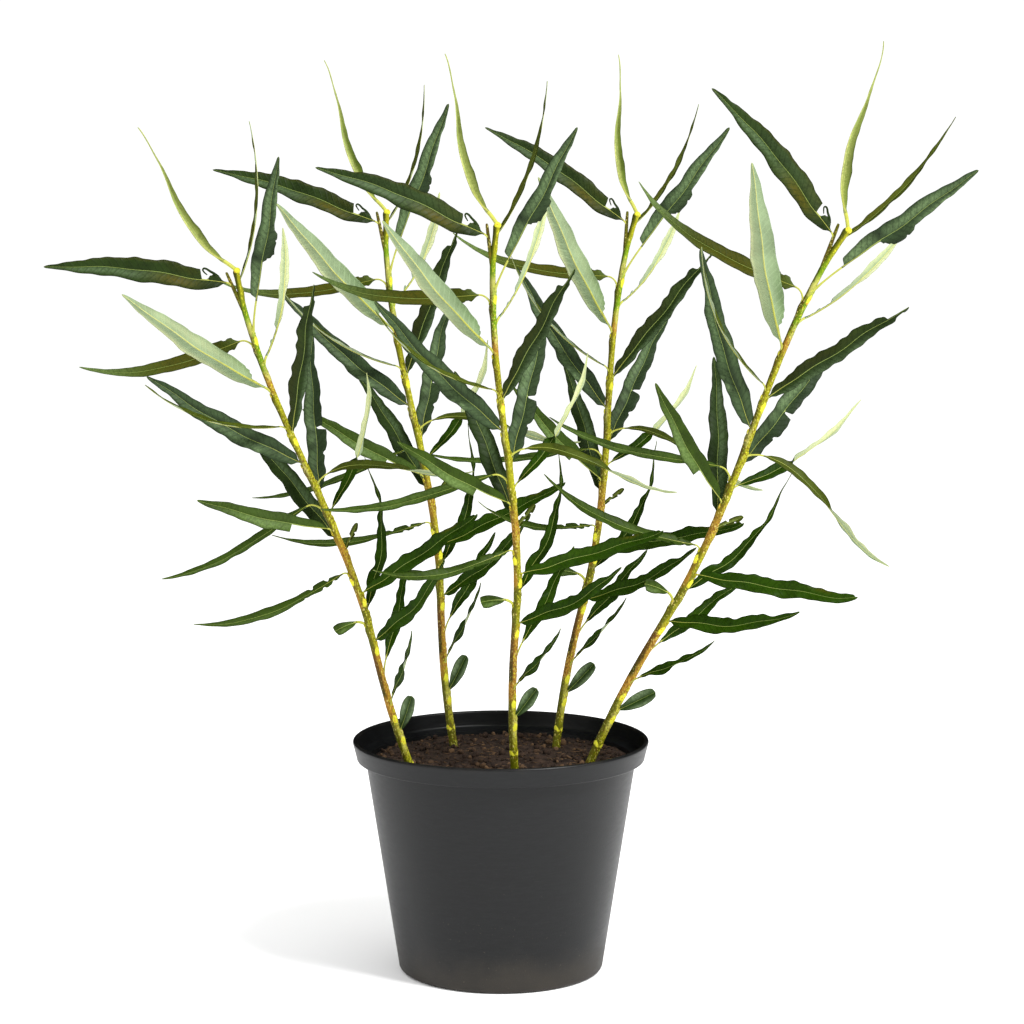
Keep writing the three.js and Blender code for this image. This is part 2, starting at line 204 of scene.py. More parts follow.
# How a blade is carried on from its line: the points across one side, from the margin inwards to
# the rib's edge, as shares of the way. The underside has the same ones without the margins.
ACROSS = (1, 0.9, 0.68, 0.44, 0.2, 0)
TOP_POINTS = 2 * len(ACROSS) + 1
UNDER_POINTS = TOP_POINTS - 2
RING = TOP_POINTS + UNDER_POINTS
BLADE_STEP, LEAST_STEPS, MOST_STEPS = 1.05, 36, 112
# How evenly a blade's rings lie, from 0 to 1. The rest is how much closer they are at its ends.
EVENLY = 0.75
STALK_STEPS = 10
STALK_HALF_WIDTH, STALK_HALF_DEPTH, STALK_BEND = 0.55, 0.5, 0.45
# The share of its length over which a blade opens from its stalk.
OPENS_OVER = 0.045
RIB_HALF_WIDTH = {"top": 0.17, "under": 0.45}
RIB_DEPTH, GROOVE_DEPTH = 0.5, 0.12
# The share of its width and of its height that a midrib keeps at the tip.
RIB_TAPER, CREST_TAPER = 0.3, 0.25
# Where a half is torn down to these widths, its rib takes up most of what is left of it.
BARE = {"widths": (0.8, 1.5), "until": (0.5, 0.6), "rib": 0.95}
BLADE_HALF_DEPTH = 0.17
LEAST_HALF_WIDTH = 0.2
FOLD = 0.3
MARGIN_ROLL = {"from": 0.7, "depth": 0.1}
VEIN_SPACING, VEIN_SLANT, VEIN_RELIEF, VEIN_THINNESS = 4.6, 0.9, 0.11, 14
# A blade stops a little short of its point, and its end is rounded.
BLUNT, TIP_ROUND = 0.975, 0.985
# The irregular waves along a blade, each as its lengths and its strength, or the range that it is
# drawn from. Those called own differ from shoot to shoot.
WAVES = {
    "widths": ((34, 19), 0.045),
    "own_widths": ((23, 13), 0.02),
    "scallops": ((21, 13.5, 8.5), 0.36),
    "roll": ((95, 47), 0.05),
    "restless_roll": ((33,), 0.16),
    "midrib": ((80, 37), 0.75),
    "margin": ((31, 19, 12.5), (0.35, 0.85)),
    "own_margin": ((17,), 0.15),
}
# How far along a blade its waves are grown, how its margins' waves fade towards the midrib and
# the ends, and how wide a half is before its scallops are whole.
WAVES_GROWN = 0.2
WAVE_POWERS = {"across": 1.7, "along": 0.4}
SCALLOPED_WIDTH = 3.5
TWIST = {"turns": 1.25, "start": 0.1, "grown": 0.3}

# How a leaf differs from a plain one. Right and left are seen from above, with the tip upwards.
# powers: its blade's shape towards the base and the tip. halves: the widths of its right and left
# halves. bumps: how uneven their margins are. rib: how stout the stalk and midrib are.
# twist: how far the blade turns about its midrib and back. flare: how much its stalk widens
# towards the cane. on_stub: it grows from the cut stub.
Habit = namedtuple(
    "Habit",
    "powers halves bumps rib twist flare on_stub",
    defaults=((0.5, 0.85), (1, 1), (0.7, 0.7), 1, 0, 1.9, False),
)
HABITS = {
    "R1": Habit(powers=(0.8, 0.45), bumps=(0.2, 0.2)),
    "R2": Habit(powers=(0.8, 1.2), bumps=(0.7, 0.7), twist=0.22),
    "R3": Habit(powers=(0.75, 1.0), bumps=(0.8, 1.0), twist=0.4),
    "R4": Habit(powers=(0.45, 0.85), bumps=(0.35, 1.3)),
    "L10": Habit(powers=(0.7, 0.22), halves=(1.1, 1.6), bumps=(0.2, 0.6), rib=1.6, flare=1.4),
    "R5": Habit(powers=(0.55, 1.7), bumps=(0.5, 1.3), twist=0.4),
    "R6": Habit(powers=(0.45, 0.6), bumps=(0.35, 1.2)),
    "L9": Habit(bumps=(0.3, 0.4), twist=0.15),
    "R7": Habit(powers=(0.5, 0.5)),
    "L6": Habit(bumps=(0.5, 0.5)),
    "L7": Habit(bumps=(0.3, 0.3)),
    "R8": Habit(powers=(0.6, 1.1)),
    "L8": Habit(bumps=(0.3, 0.3)),
    "R10": Habit(bumps=(1.0, 0.4)),
    "L5": Habit(powers=(0.4, 0.8), bumps=(0.4, 0.7)),
    "R11": Habit(powers=(0.5, 0.75), bumps=(0.6, 1.3), rib=1.5),
    "L2": Habit(powers=(0.55, 0.95), bumps=(0.2, 0.2), rib=1.4),
    "R12": Habit(rib=1.5),
    "L3": Habit(powers=(0.28, 0.85), bumps=(0.35, 0.35), twist=0.1),
    "R13": Habit(powers=(0.35, 0.75), bumps=(0.5, 0.3), rib=1.1),
    "R14": Habit(powers=(0.5, 1.1), bumps=(0.35, 0.35)),
    "L1": Habit(powers=(0.5, 0.92), bumps=(0.75, 0.15), on_stub=True),
    "T1": Habit(powers=(0.7, 2.3), halves=(1.35, 0.5), bumps=(0.4, 0.1), rib=2.2, flare=1),
}
# A blade that shows another face to the front than its place in the solids, at base and tip.
FACING = {
    "R2": (0.65, 0.6),
    "R8": (0.5, -0.6),
    "R9": (0.6, -0.68),
    "L4": (0.28, 0.26),
    "L3": (0.9, 0.55),
    "R14": (-0.32, -0.07),
}
# Where a blade that shows both sides turns over: the middle and the reach of the turn along it.
TURNS_OVER = {"R8": (0.38, 0.06), "R9": (0.5, 0.3)}
# Torn places: the half (1 right, -1 left), where each starts and ends along it, and the width kept.
TORN = {
    "L1": [(1, 0.0, 0.03, 0.6), (1, 0.03, 0.085, 0.85), (1, 0.085, 0.1, 0.6), (1, 0.1, 0.145, 0.1)],
    "L2": [(-1, 0.0, 0.1, 0.2), (-1, 0.1, 0.125, 0.62), (-1, 0.125, 0.16, 0.88)],
    "L7": [(-1, 0.0, 0.28, 0.1)],
    "R13": [
        (1, 0.0, 0.285, 0.1),
        (1, 0.285, 0.31, 0.4),
        (1, 0.31, 0.335, 0.75),
        (-1, 0.0, 0.025, 0.2),
        (1, 0.43, 0.445, 0.85),
        (1, 0.5, 1.0, 0.72),
    ],
    "R10": [(1, 0.21, 0.23, 0.75), (1, 0.375, 0.395, 0.12), (1, 0.395, 1.0, 0.85)],
    "R11": [(-1, 0.85, 1.0, 0.2), (1, 0.9, 0.96, 0.6)],
    "R12": [(1, 0.0, 0.1, 0.08), (1, 0.13, 0.24, 0.08), (-1, 0.0, 0.3, 0.08)],
    "L9": [
        (-1, 0.06, 0.08, 0.3),
        (1, 0.09, 0.11, 0.35),
        (-1, 0.13, 0.155, 0.4),
        (1, 0.2, 0.225, 0.5),
        (-1, 0.27, 0.285, 0.6),
    ],
    "R7": [(1, 0.25, 0.34, 0.25), (-1, 0.42, 0.5, 0.3), (1, 0.6, 0.68, 0.3)],
    "L3": [
        (1, 0.0, 0.04, 0.7),
        (1, 0.075, 0.1, 0.8),
        (-1, 0.05, 0.08, 0.75),
        (-1, 0.13, 0.16, 0.65),
        (1, 0.2, 0.22, 0.8),
    ],
    "R6": [(-1, 0.98, 1.0, 0.2)],
}
TEAR_EDGE = 0.006
# A leaf that is drawn a little off its place in the solids, once all of them have their room.
REDRAWN = {"L10": {"reach": -19, "rise": 7, "stalk": 8, "bow": (1.6, 0.8)}}
# The curl of torn blade beside a leaf's foot: how far along it and right of its midrib it goes.
CURLED = "L1"
CURL = [(5, 2.6), (7, 3.7), (9.8, 5.1), (12.8, 6.5), (15, 6.7), (15.4, 5.4), (14, 3.9), (12.2, 3)]
CURL_FORM = {
    "steps": 22,
    "sides": 8,
    "half_width": 0.95,
    "taper": 0.4,
    "flatness": 0.3,
    "lift": 0.6,
    "wave": 0.5,
}

# Patches of colour: their kind (lit is painted light, dark is painted shade, brown is the blade's
# own colour), the half they lie on, their middle and reach along the blade and across it (0 at the
# midrib, 1 at the margin), and their strength.
PATCHES = {
    "R1": [("lit", -1, (0.6, 0.32), (0.7, 0.45), 1.0), ("lit", 1, (0.6, 0.35), (0.9, 0.35), 1.0)],
    "R4": [("lit", 1, (0.5, 0.4), (0.9, 0.15), 0.3)],
    "R6": [("brown", -1, (0.78, 0.06), (0.8, 0.3), 0.7), ("lit", 1, (0.4, 0.3), (0.9, 0.15), 0.3)],
    "R5": [("dark", 1, (0.4, 0.4), (0.6, 0.5), 0.5), ("dark", -1, (0.95, 0.15), (0.5, 0.9), 0.9)],
    "L6": [("lit", 1, (0.5, 0.45), (0.3, 0.3), 0.6), ("dark", -1, (0.4, 0.4), (0.6, 0.5), 0.5)],
    "L10": [("lit", -1, (0.7, 0.3), (0.6, 0.3), 0.7), ("dark", 1, (0.7, 0.4), (0.9, 0.5), 0.7)],
    "L7": [
        ("dark", 1, (0.4, 0.4), (0.6, 0.5), 0.4),
        ("lit", -1, (0.5, 0.28), (0.5, 0.6), 0.9),
        ("dark", -1, (0.95, 0.2), (0.5, 0.9), 0.4),
    ],
    "R7": [
        ("dark", 1, (0.5, 0.6), (0.7, 0.6), 0.9),
        ("dark", -1, (0.5, 0.6), (0.9, 0.3), 0.8),
        ("lit", -1, (0.5, 0.4), (0.2, 0.3), 1.0),
    ],
    "L8": [("lit", -1, (0.7, 0.35), (0.3, 0.4), 0.5), ("dark", 1, (0.3, 0.3), (0.8, 0.4), 0.4)],
    "L9": [("dark", 1, (0.4, 0.5), (0.7, 0.5), 0.5), ("dark", -1, (0.8, 0.3), (0.7, 0.5), 0.4)],
    "R10": [
        ("lit", -1, (0.5, 0.35), (0.5, 0.45), 0.7),
        ("dark", -1, (0.27, 0.03), (0.5, 0.6), 0.8),
        ("dark", -1, (0.36, 0.02), (0.5, 0.6), 0.7),
        ("dark", 1, (0.5, 0.4), (0.6, 0.5), 0.4),
    ],
    "L5": [
        ("lit", -1, (0.5, 0.42), (0.45, 0.35), 0.4),
        ("dark", 1, (0.5, 0.4), (0.1, 0.3), 0.7),
        ("lit", -1, (0.25, 0.025), (0.75, 0.3), 1.0),
        ("lit", -1, (0.31, 0.015), (0.85, 0.2), 0.8),
    ],
    "R11": [
        ("brown", -1, (0.3, 0.35), (0.6, 0.5), 0.4),
        ("dark", -1, (0.25, 0.3), (0.5, 0.6), 0.6),
        ("dark", 1, (0.7, 0.3), (0.4, 0.4), 0.4),
        ("lit", 1, (0.3, 0.3), (0.9, 0.3), 0.8),
        ("lit", 1, (0.62, 0.1), (0.85, 0.3), 0.7),
    ],
    "L2": [("lit", 1, (0.6, 0.45), (1, 0.3), 0.8), ("dark", -1, (0.2, 0.22), (0.8, 0.5), 0.7)],
    "R12": [("lit", -1, (0.6, 0.6), (0.6, 0.6), 0.95), ("lit", 1, (0.8, 0.35), (0.8, 0.5), 0.7)],
    "R8": [("lit", 1, (0.75, 0.35), (0.5, 0.7), 0.9), ("lit", -1, (0.9, 0.3), (0.6, 0.6), 0.5)],
    "R9": [
        ("lit", 1, (0.8, 0.25), (0.9, 0.45), 0.9),
        ("dark", -1, (0.8, 0.25), (0.6, 0.5), 0.5),
        ("dark", 1, (0.2, 0.25), (0.7, 0.6), 0.5),
        ("dark", -1, (0.2, 0.25), (0.7, 0.6), 0.35),
    ],
    "L3": [
        ("brown", 1, (0.35, 0.35), (0.5, 1), 0.85),
        ("brown", -1, (0.35, 0.35), (0.5, 1), 0.85),
        ("lit", 1, (0.95, 0.3), (0.5, 1), 0.9),
        ("lit", -1, (0.95, 0.3), (0.5, 1), 0.9),
        ("lit", 1, (0.03, 0.05), (0.5, 1), 0.6),
    ],
    "R13": [
        ("lit", -1, (0.13, 0.14), (0.5, 0.7), 0.8),
        ("dark", -1, (0.3, 0.03), (0.5, 0.7), 0.9),
        ("lit", -1, (0.6, 0.3), (0.35, 0.4), 0.75),
        ("lit", 1, (0.75, 0.25), (0.9, 0.35), 0.85),
        ("dark", 1, (0.36, 0.1), (0.9, 0.5), 0.8),
    ],
    "R14": [
        ("brown", -1, (0.3, 0.2), (0.5, 0.6), 0.4),
        ("dark", 1, (0.6, 0.4), (0.8, 0.6), 0.6),
        ("dark", -1, (0.8, 0.3), (0.8, 0.6), 0.5),
    ],
    "L1": [
        ("brown", 1, (0.5, 0.4), (1, 0.15), 0.6),
        ("dark", 1, (0.5, 0.4), (0.4, 0.4), 0.25),
        ("lit", -1, (0.68, 0.3), (0.35, 0.35), 0.65),
        ("brown", -1, (0.27, 0.13), (0.45, 0.5), 1.0),
        ("brown", 1, (0.22, 0.1), (0.7, 0.5), 0.3),
        ("dark", -1, (0.08, 0.08), (0.7, 0.5), 0.7),
    ],
    "T1": [
        ("lit", -1, (0.5, 0.6), (0.7, 0.8), 0.85),
        ("lit", 1, (0.95, 0.28), (0.5, 0.9), 0.8),
        ("lit", 1, (0.3, 0.35), (0, 0.2), 0.6),
        ("dark", 1, (0.28, 0.24), (1, 0.5), 1.0),
        ("dark", 1, (0.45, 0.25), (0.6, 0.5), 0.35),
    ],
}
# The kinds of patch: painted light, the blade's own brown, and painted shade.
PATCH_KINDS = ("lit", "brown", "dark")
# Each leaf's faint patch of painted light, at a place of its own.
CHANCE = {"at": (0.3, 0.7), "reach": 0.35, "across": (0.55, 0.4), "strength": (0.1, 0.35)}

# The bark's colour at heights up the left and the right side: its own stretches of colour, with
# painted shade on the left and painted light on the right. It blends from each to the next.
BARK_LEFT = (
    (0, "olive"), (46, "olive"), (51, "tan"), (60, "tan"), (65, "dark"), (90, "brown"),
    (104, "olive"), (126, "olive"), (134, "tan"), (148, "olive"), (168, "tan"), (188, "olive"),
    (206, "yellow"), (222, "olive"), (232, "pale"), (242, "olive"), (260, "yellow"),
    (286, "olive"), (294, "tan"), (306, "green"), (320, "olive"), (332, "pale"), (342, "green"),
    (356, "olive"),
)
BARK_RIGHT = (
    (0, "olive"), (12, "olive"), (20, "yellow"), (32, "pale"), (47, "yellow"), (52, "tan"),
    (92, "tan"), (104, "yellow"), (128, "olive"), (146, "yellow"), (172, "tan"), (190, "yellow"),
    (284, "yellow"), (292, "tan"), (299, "pale"), (309, "green"), (323, "green"), (334, "pale"),
    (343, "green"), (356, "yellow"),
)
# How far apart a cane's rings are, how far below the soil it starts, how much stouter its bark is
# than the solids' cane at the foot and at the tip, and how long its rounded tip is.
CANE_STEP = 1.0
SUNK = 7
STOUTNESS = (1.03, 1.24)
TIP_LENGTH = 2.5
# The bark's unevenness, as its spacings and their depths.
BARK_GRAIN = ((6, 0.1), (1.6, 0.06))
# The swelling under each leaf's foot, and the ridge that runs down from it.
CUSHION = {"height": 0.75, "across": 0.6, "above": 2.2, "below": 4.5}
RIDGE = {"height": 0.2, "across": 0.35, "below": (-26, -2)}
# The scar under each leaf's foot, turned a little from the leaf's own side to the front. It is
# bright under the leaves named here, and faint under the others.
SCAR = {"to_front": 0.5, "across": 0.85, "taper": 0.13, "below": 2.4, "along": 4.4, "faint": 0.5}
SCARRED = ("R1", "R2", "R4", "R6", "L9", "R8", "R11", "R13")
# The raised scar that runs round a cane near its foot.
RING_SCAR = {"at": 13, "reach": 1.9, "height": 0.3, "scar": 1.25}
# A bud's size shrinks up the cane, and it leans away from the cane towards its tip.
BUD = {
    "above": 1.0,
    "length": 4.2,
    "width": 1.0,
    "depth": 0.75,
    "size": (1.15, 0.7),
    "leans": 0.35,
    "rings": 11,
}
# Above the fork the young shoot bears right of its own line, and the cut stub bears left.
FORK = {"from": 343, "shoot": 2.6, "stub": -5.0, "stub_to": 373}
# The stub narrows to a rounded end. The knob is what the topmost leaf rises from.
STUB = {"radius": (1.7, 0.95), "rounded": (0.96, 0.7), "rings": 28}
KNOB = {"at": 371.8, "right": 0.2, "radius": 2.35, "height": 2.2, "rings": 13}
# The bark of the small parts: as at what height of a cane, how scarred, and how far to its right,
# which sets its painted light and shade.
BUD_BARK = {"scar": 0.55, "right": 0.3}
STUB_BARK = {"height": 286, "scar": 0.0, "right": -0.6}
KNOB_BARK = {"height": 371.8, "scar": 1.3, "right": 0.5}
SPINDLE_SIDES = 14
# How many strips a cane takes on the bake's map, one above another.
BAKE_BANDS = 8

# The stage, in metres: half the floor's width, and how far it lies below the pot. A lamp has its
# place from the plant's middle, its share of the key's power, and its size.
STAGE_REACH, STAGE_DROP = 30, 0.0002
SURROUNDING_LIGHT = 1.07
LAMPS = {"key": ((1.3, -1.2, 1.9), 1, 0.6), "fill": ((-1.8, -1.4, 0.9), 0.12, 1.4)}


def tint(red, green, blue):
    """A colour given as it shows on a screen, 0 to 255, as Blender's linear values."""
    shares = (value / 255 for value in (red, green, blue))
    return tuple(s / 12.92 if s <= 0.04045 else ((s + 0.055) / 1.055) ** 2.4 for s in shares)


# An upper side's colour for its patches of painted light, its roughness and shine, and how plain
# its veins are.
Look = namedtuple("Look", "lit roughness shine veins")
LOOKS = {
    "deep": Look(tint(56, 80, 16), 0.4, 0.05, 0.8),
    "dull": Look(tint(84, 104, 70), 0.44, 0.08, 1),
    "grey": Look(tint(102, 124, 82), 0.48, 0.1, 1),
    "fresh": Look(tint(96, 118, 64), 0.42, 0.07, 0.6),
    "olive": Look(tint(100, 110, 48), 0.42, 0.06, 0.4),
    "satin": Look(tint(116, 136, 98), 0.36, 0.14, 0.5),
    "young": Look(tint(196, 196, 124), 0.5, 0.1, 0.15),
}


def colour_property(label, about, default):
    return FloatVectorProperty(
        name=label, description=about, subtype="COLOR", size=3, min=0, max=1, default=default
    )


class OsierPotSettings(PropertyGroup):
    """The nursery pot's fineness and finish."""

    sides: IntProperty(name="Sides", description="Facets round the pot", default=160, min=32)
    plastic: colour_property("Plastic", "Colour of the moulded plastic", tint(17, 18, 19))
    dust: colour_property("Dust", "Colour of the dust and dried soil on it", tint(84, 76, 64))


class OsierSoilSettings(PropertyGroup):
    """The compost's lumps and colours."""

    crumbs: IntProperty(
        name="Crumbs", description="Loose crumbs on the surface", default=1100, min=0
    )
    lump: FloatProperty(
        name="Lump height",
        description="How far the surface rises and falls",
        default=1.4 * MM,
        min=0,
        unit="LENGTH",
    )
    peat: colour_property("Peat", "Colour of the moist compost", tint(42, 30, 22))
    fibre: colour_property("Fibre", "Colour of the dry crumbs and fibres", tint(92, 70, 48))


class OsierCaneSettings(PropertyGroup):
    """The canes' fineness and bark colours."""

    sides: IntProperty(name="Sides", description="Facets round a cane", default=32, min=8)
    olive: colour_property("Olive", "Bark of the shoot's foot", tint(80, 84, 1))
    dark: colour_property("Dark", "Bark in the shade of the leaves", tint(46, 50, 2))
    tan: colour_property("Tan", "Weathered orange stretches", tint(150, 110, 34))
    brown: colour_property("Brown", "Weathered speckle", tint(88, 58, 20))
    yellow: colour_property("Yellow", "Sunlit bark of the middle", tint(138, 137, 14))
    green: colour_property("Green", "Bark of the young top", tint(94, 130, 4))
    pale: colour_property("Pale", "Dry pale stretches near the top", tint(166, 163, 84))
    cushion: colour_property("Cushion", "Leaf cushions", tint(204, 202, 52))
    cork: colour_property("Cork", "Pale breathing pores", tint(192, 178, 100))


class OsierLeafSettings(PropertyGroup):
    """The leaves' colours, by the age and side of the blade."""

    deep: colour_property("Deep", "Low, dark blades", tint(26, 48, 0))
    dull: colour_property("Dull", "Full-grown upper blades", tint(30, 45, 12))
    grey: colour_property("Grey", "Blue-green blades", tint(38, 53, 30))
    fresh: colour_property("Fresh", "Bright green lower blades", tint(44, 62, 12))
    olive: colour_property("Olive", "Yellowed, arched blades", tint(56, 66, 12))
    satin: colour_property("Satin", "The small oval first leaf", tint(26, 48, 2))
    young: colour_property("Young", "The newest blade", tint(80, 96, 26))
    brown: colour_property("Brown", "Brown patches on the green blades", tint(70, 64, 8))
    silver: colour_property("Silver", "The silky underside", tint(124, 142, 106))
    cream: colour_property("Cream", "The palest parts of an underside", tint(188, 192, 142))
    stalk: colour_property("Stalk", "Leaf stalks", tint(170, 172, 72))
    rib: colour_property("Rib", "Midribs on the upper side", tint(124, 142, 72))
    pale_rib: colour_property("Pale rib", "Ribs of the underside", tint(186, 188, 118))


class OsierStageSettings(PropertyGroup):
    """The view and its light."""

    view_width: FloatProperty(
        name="View width",
        description="How much the picture takes in at the plant",
        default=0.655,
        min=0.1,
        unit="LENGTH",
    )
    elevation: FloatProperty(
        name="Elevation",
        description="How far above level the camera stands",
        default=math.radians(7),
        subtype="ANGLE",
    )
    lens: FloatProperty(
        name="Lens", description="Focal length", default=100, min=10, unit="CAMERA"
    )
    floor: colour_property("Floor", "Colour of the floor", (0.97, 0.97, 0.97))
    key_power: FloatProperty(
        name="Key power", description="Watts of the main lamp", default=80, min=0, unit="POWER"
    )


def unit(vectors):
    """A vector, or rows of vectors, at length one."""
    return vectors / np.linalg.norm(vectors, axis=-1, keepdims=True)


def between(low, high, share):
    return low + (high - low) * share


def ease(low, high, value):
    """A smooth step from 0 at low to 1 at high."""
    share = np.clip((value - low) / (high - low), 0, 1)
    return share * share * (3 - 2 * share)


def once_round(sides):
    """Evenly spaced angles round a ring."""
    return np.linspace(0, 2 * np.pi, sides, endpoint=False)


def section(angles, first, second):
    """The points of a ring, spread along two axes, or of a row of rings with axes of their own."""
    return np.cos(angles)[:, None] * first + np.sin(angles)[:, None] * second


def ripple(rng, along, lengths, amount):
    """An irregular wave: sines of the given lengths, each with a phase of its own."""
    waves = [np.sin(2 * np.pi * (along / length + rng.random())) for length in lengths]
    return amount * sum(waves) / math.sqrt(len(lengths))


def grain(points, spacing):
    """Smooth noise from -1 to 1 at rows of points, with features about spacing apart."""
    return np.array([noise.noise(Vector(point)) for point in np.asarray(points) / spacing])


def seeded(seed):
    """The small seeded generator of numbers from 0 to 1 that shaped the solids."""
    state = seed
    while True:
        state = (state * 1664525 + 1013904223) % 2**32
        yield state / 2**32


def sway(height):
    """The cane's own line, in the pattern's frame: it sways from side to side as it grows."""
    fade = np.minimum(1, np.asarray(height) / SWAY["fade"])
    side = np.sin((height - SWAY["zero"]) / SWAY["quarter"] * np.pi / 2)
    depth = np.sin(2 * np.pi * height / SWAY["depth_wave"])
    return SWAY["side"] * fade * side, SWAY["depth"] * fade * depth


def cane_radius(height):
    return between(CANE_FOOT_RADIUS, CANE_TIP_RADIUS, height / PATTERN_LENGTH)


class Shoot:
    """Where a shoot stands: its axes, and the way from the pattern's frame to the part's."""

    def __init__(self, stand):
        lean = [math.tan(math.radians(angle)) for angle in (stand.right, stand.back)]
        self.along = unit(np.array([*lean, 1.0]))
        self.side = unit(np.array([self.along[2], 0.0, -self.along[0]]))
        self.back = np.cross(self.along, self.side)
        self.scale = stand.length / PATTERN_LENGTH
        self.foot = np.array([*stand.foot, SOIL_LEVEL + GAP])
        self.buried = stand.buried

    def place(self, right, depth, height):
        """Points of the pattern's frame in the part's, for numbers or for arrays of them."""
        parts = ((right, self.side), (depth, self.back), (height - self.buried, self.along))
        return self.foot + self.scale * sum(np.asarray(n)[..., None] * axis for n, axis in parts)

    def cane_point(self, height, shift=0):
        """Points of the cane's line, or of one that is shifted to its right."""
        right, depth = sway(height)
        return self.place(right + shift, depth, height)


class LeafLine:
    """One leaf's line, facing and size on one shoot, turned round the shoot by some degrees."""

    def __init__(self, shoot, leaf, turn, stretch):
        foot_right, foot_depth = sway(leaf.at)
        right = (leaf.reach - foot_right) * stretch
        depth = (leaf.depth - foot_depth) * stretch
        cos, sin = math.cos(math.radians(turn)), math.sin(math.radians(turn))
        right, depth = right * cos - depth * sin, right * sin + depth * cos
        outward = math.hypot(right, depth)
        rise = leaf.rise * stretch
        spread = math.degrees(math.atan2(outward, rise))
        leave = math.radians(min(max(spread * STALK_SHARE, STALK_LEAST), STALK_MOST))
        self.shoot, self.leaf, self.scale = shoot, leaf, shoot.scale * stretch
        self.turn = turn
        self.angle = math.atan2(depth, right)
        self.out = (shoot.side * right + shoot.back * depth) / outward
        self.foot = shoot.cane_point(leaf.at)
        tip = self.foot + (self.out * outward + shoot.along * rise) * shoot.scale
        self.size = float(np.linalg.norm(tip - self.foot))
        stalk = (cane_radius(leaf.at) + leaf.stalk * stretch) * shoot.scale
        heading = shoot.along * math.cos(leave) + self.out * math.sin(leave)
        base = self.foot + stalk * heading
        chord = tip - base
        over = unit(shoot.along - chord * (shoot.along @ chord) / (chord @ chord))
        lower = base + chord / 3 + over * leaf.bow[0] * shoot.scale
        upper = base + chord * 2 / 3 + over * leaf.bow[1] * shoot.scale
        self.controls = np.array([base, lower, upper, tip])
        self.length = float(np.linalg.norm(chord))

    def point(self, t):
        share = np.stack([(1 - t) ** 3, 3 * (1 - t) ** 2 * t, 3 * (1 - t) * t**2, t**3], axis=-1)
        return share @ self.controls

    def axes(self, t, turned=None, facing=None):
        """The way along the leaf, the way its upper side faces, and the way to its right."""
        steps = np.diff(self.controls, axis=0)
        tangent = unit(np.stack([(1 - t) ** 2, 2 * (1 - t) * t, t**2], axis=-1) @ steps)
        face = between(*(facing or self.leaf.face), t if turned is None else turned)[:, None]
        normal = np.sqrt(1 - face**2) * self.shoot.along - face * self.shoot.back
        normal = unit(normal - tangent * (normal * tangent).sum(axis=1, keepdims=True))
        return tangent, normal, np.cross(tangent, normal)

    def half_width(self, t, powers=(BASE_POWER, TIP_POWER)):
        peak = powers[0] / sum(powers)
        shape = (t / peak) ** powers[0] * ((1 - t) / (1 - peak)) ** powers[1]
        return np.maximum(TIP_HALF_WIDTH, self.leaf.width / 2 * self.scale * shape)

    def samples(self):
        """Points down the middle and near both margins, and how far along each one is."""
        t = np.linspace(CLEAR["first"], 1, CLEAR["samples"])
        reach = self.axes(t)[2] * (self.half_width(t) * CLEAR["across"])[:, None]
        points = [self.point(t) + side * reach for side in (-1, 0, 1)]
        return np.concatenate(points), np.tile(t, 3)


def nearest(points, others):
    """The least distance between two sets of points."""
    return np.sqrt(((points[:, None] - others[None]) ** 2).sum(axis=2)).min()


def room(line, placed, canes, own):
    """How much room a leaf has beyond what it needs, in millimetres."""
    points, t = line.samples()
    least = nearest(points, placed) - CLEAR["leaf"] if len(placed) else math.inf
    for number, cane in enumerate(canes):
        if number == own:
            space = nearest(points[t >= CLEAR["own_from"]], cane) - CLEAR["own_cane"]
        else:
            space = nearest(points, cane) - CLEAR["cane"]
        least = min(least, space)
    return least


@functools.cache
def grown_shoots():
    """Every shoot and the lines of its leaves, by the rule and the seed of the solids."""
    shoots = [Shoot(stand) for stand in STANDS]
    rng = seeded(VARIETY["seed"])
    heights = np.arange(0, PATTERN_LENGTH, CLEAR["cane_step"])
    canes = [shoot.cane_point(heights) for shoot in shoots]
    placed = np.empty((0, 3))
    grown = []
    for own, shoot in enumerate(shoots):
        lines = []
        for leaf in LEAVES:
            stretch = 1 + VARIETY["length"] * (next(rng) - 0.5)
            turn = VARIETY["turn"] * (next(rng) - 0.5)
            best, most = None, -math.inf
            for extra in CLEAR["turns"]:
                line = LeafLine(shoot, leaf, turn + extra, stretch)
                space = room(line, placed, canes, own)
                if space > most:
                    best, most = line, space
                if space > 0:
                    break
            placed = np.concatenate([placed, best.samples()[0]])
            drawn = leaf._replace(**REDRAWN.get(leaf.name, {}))
            lines.append(LeafLine(shoot, drawn, best.turn, stretch))
        grown.append((shoot, lines))
    return grown


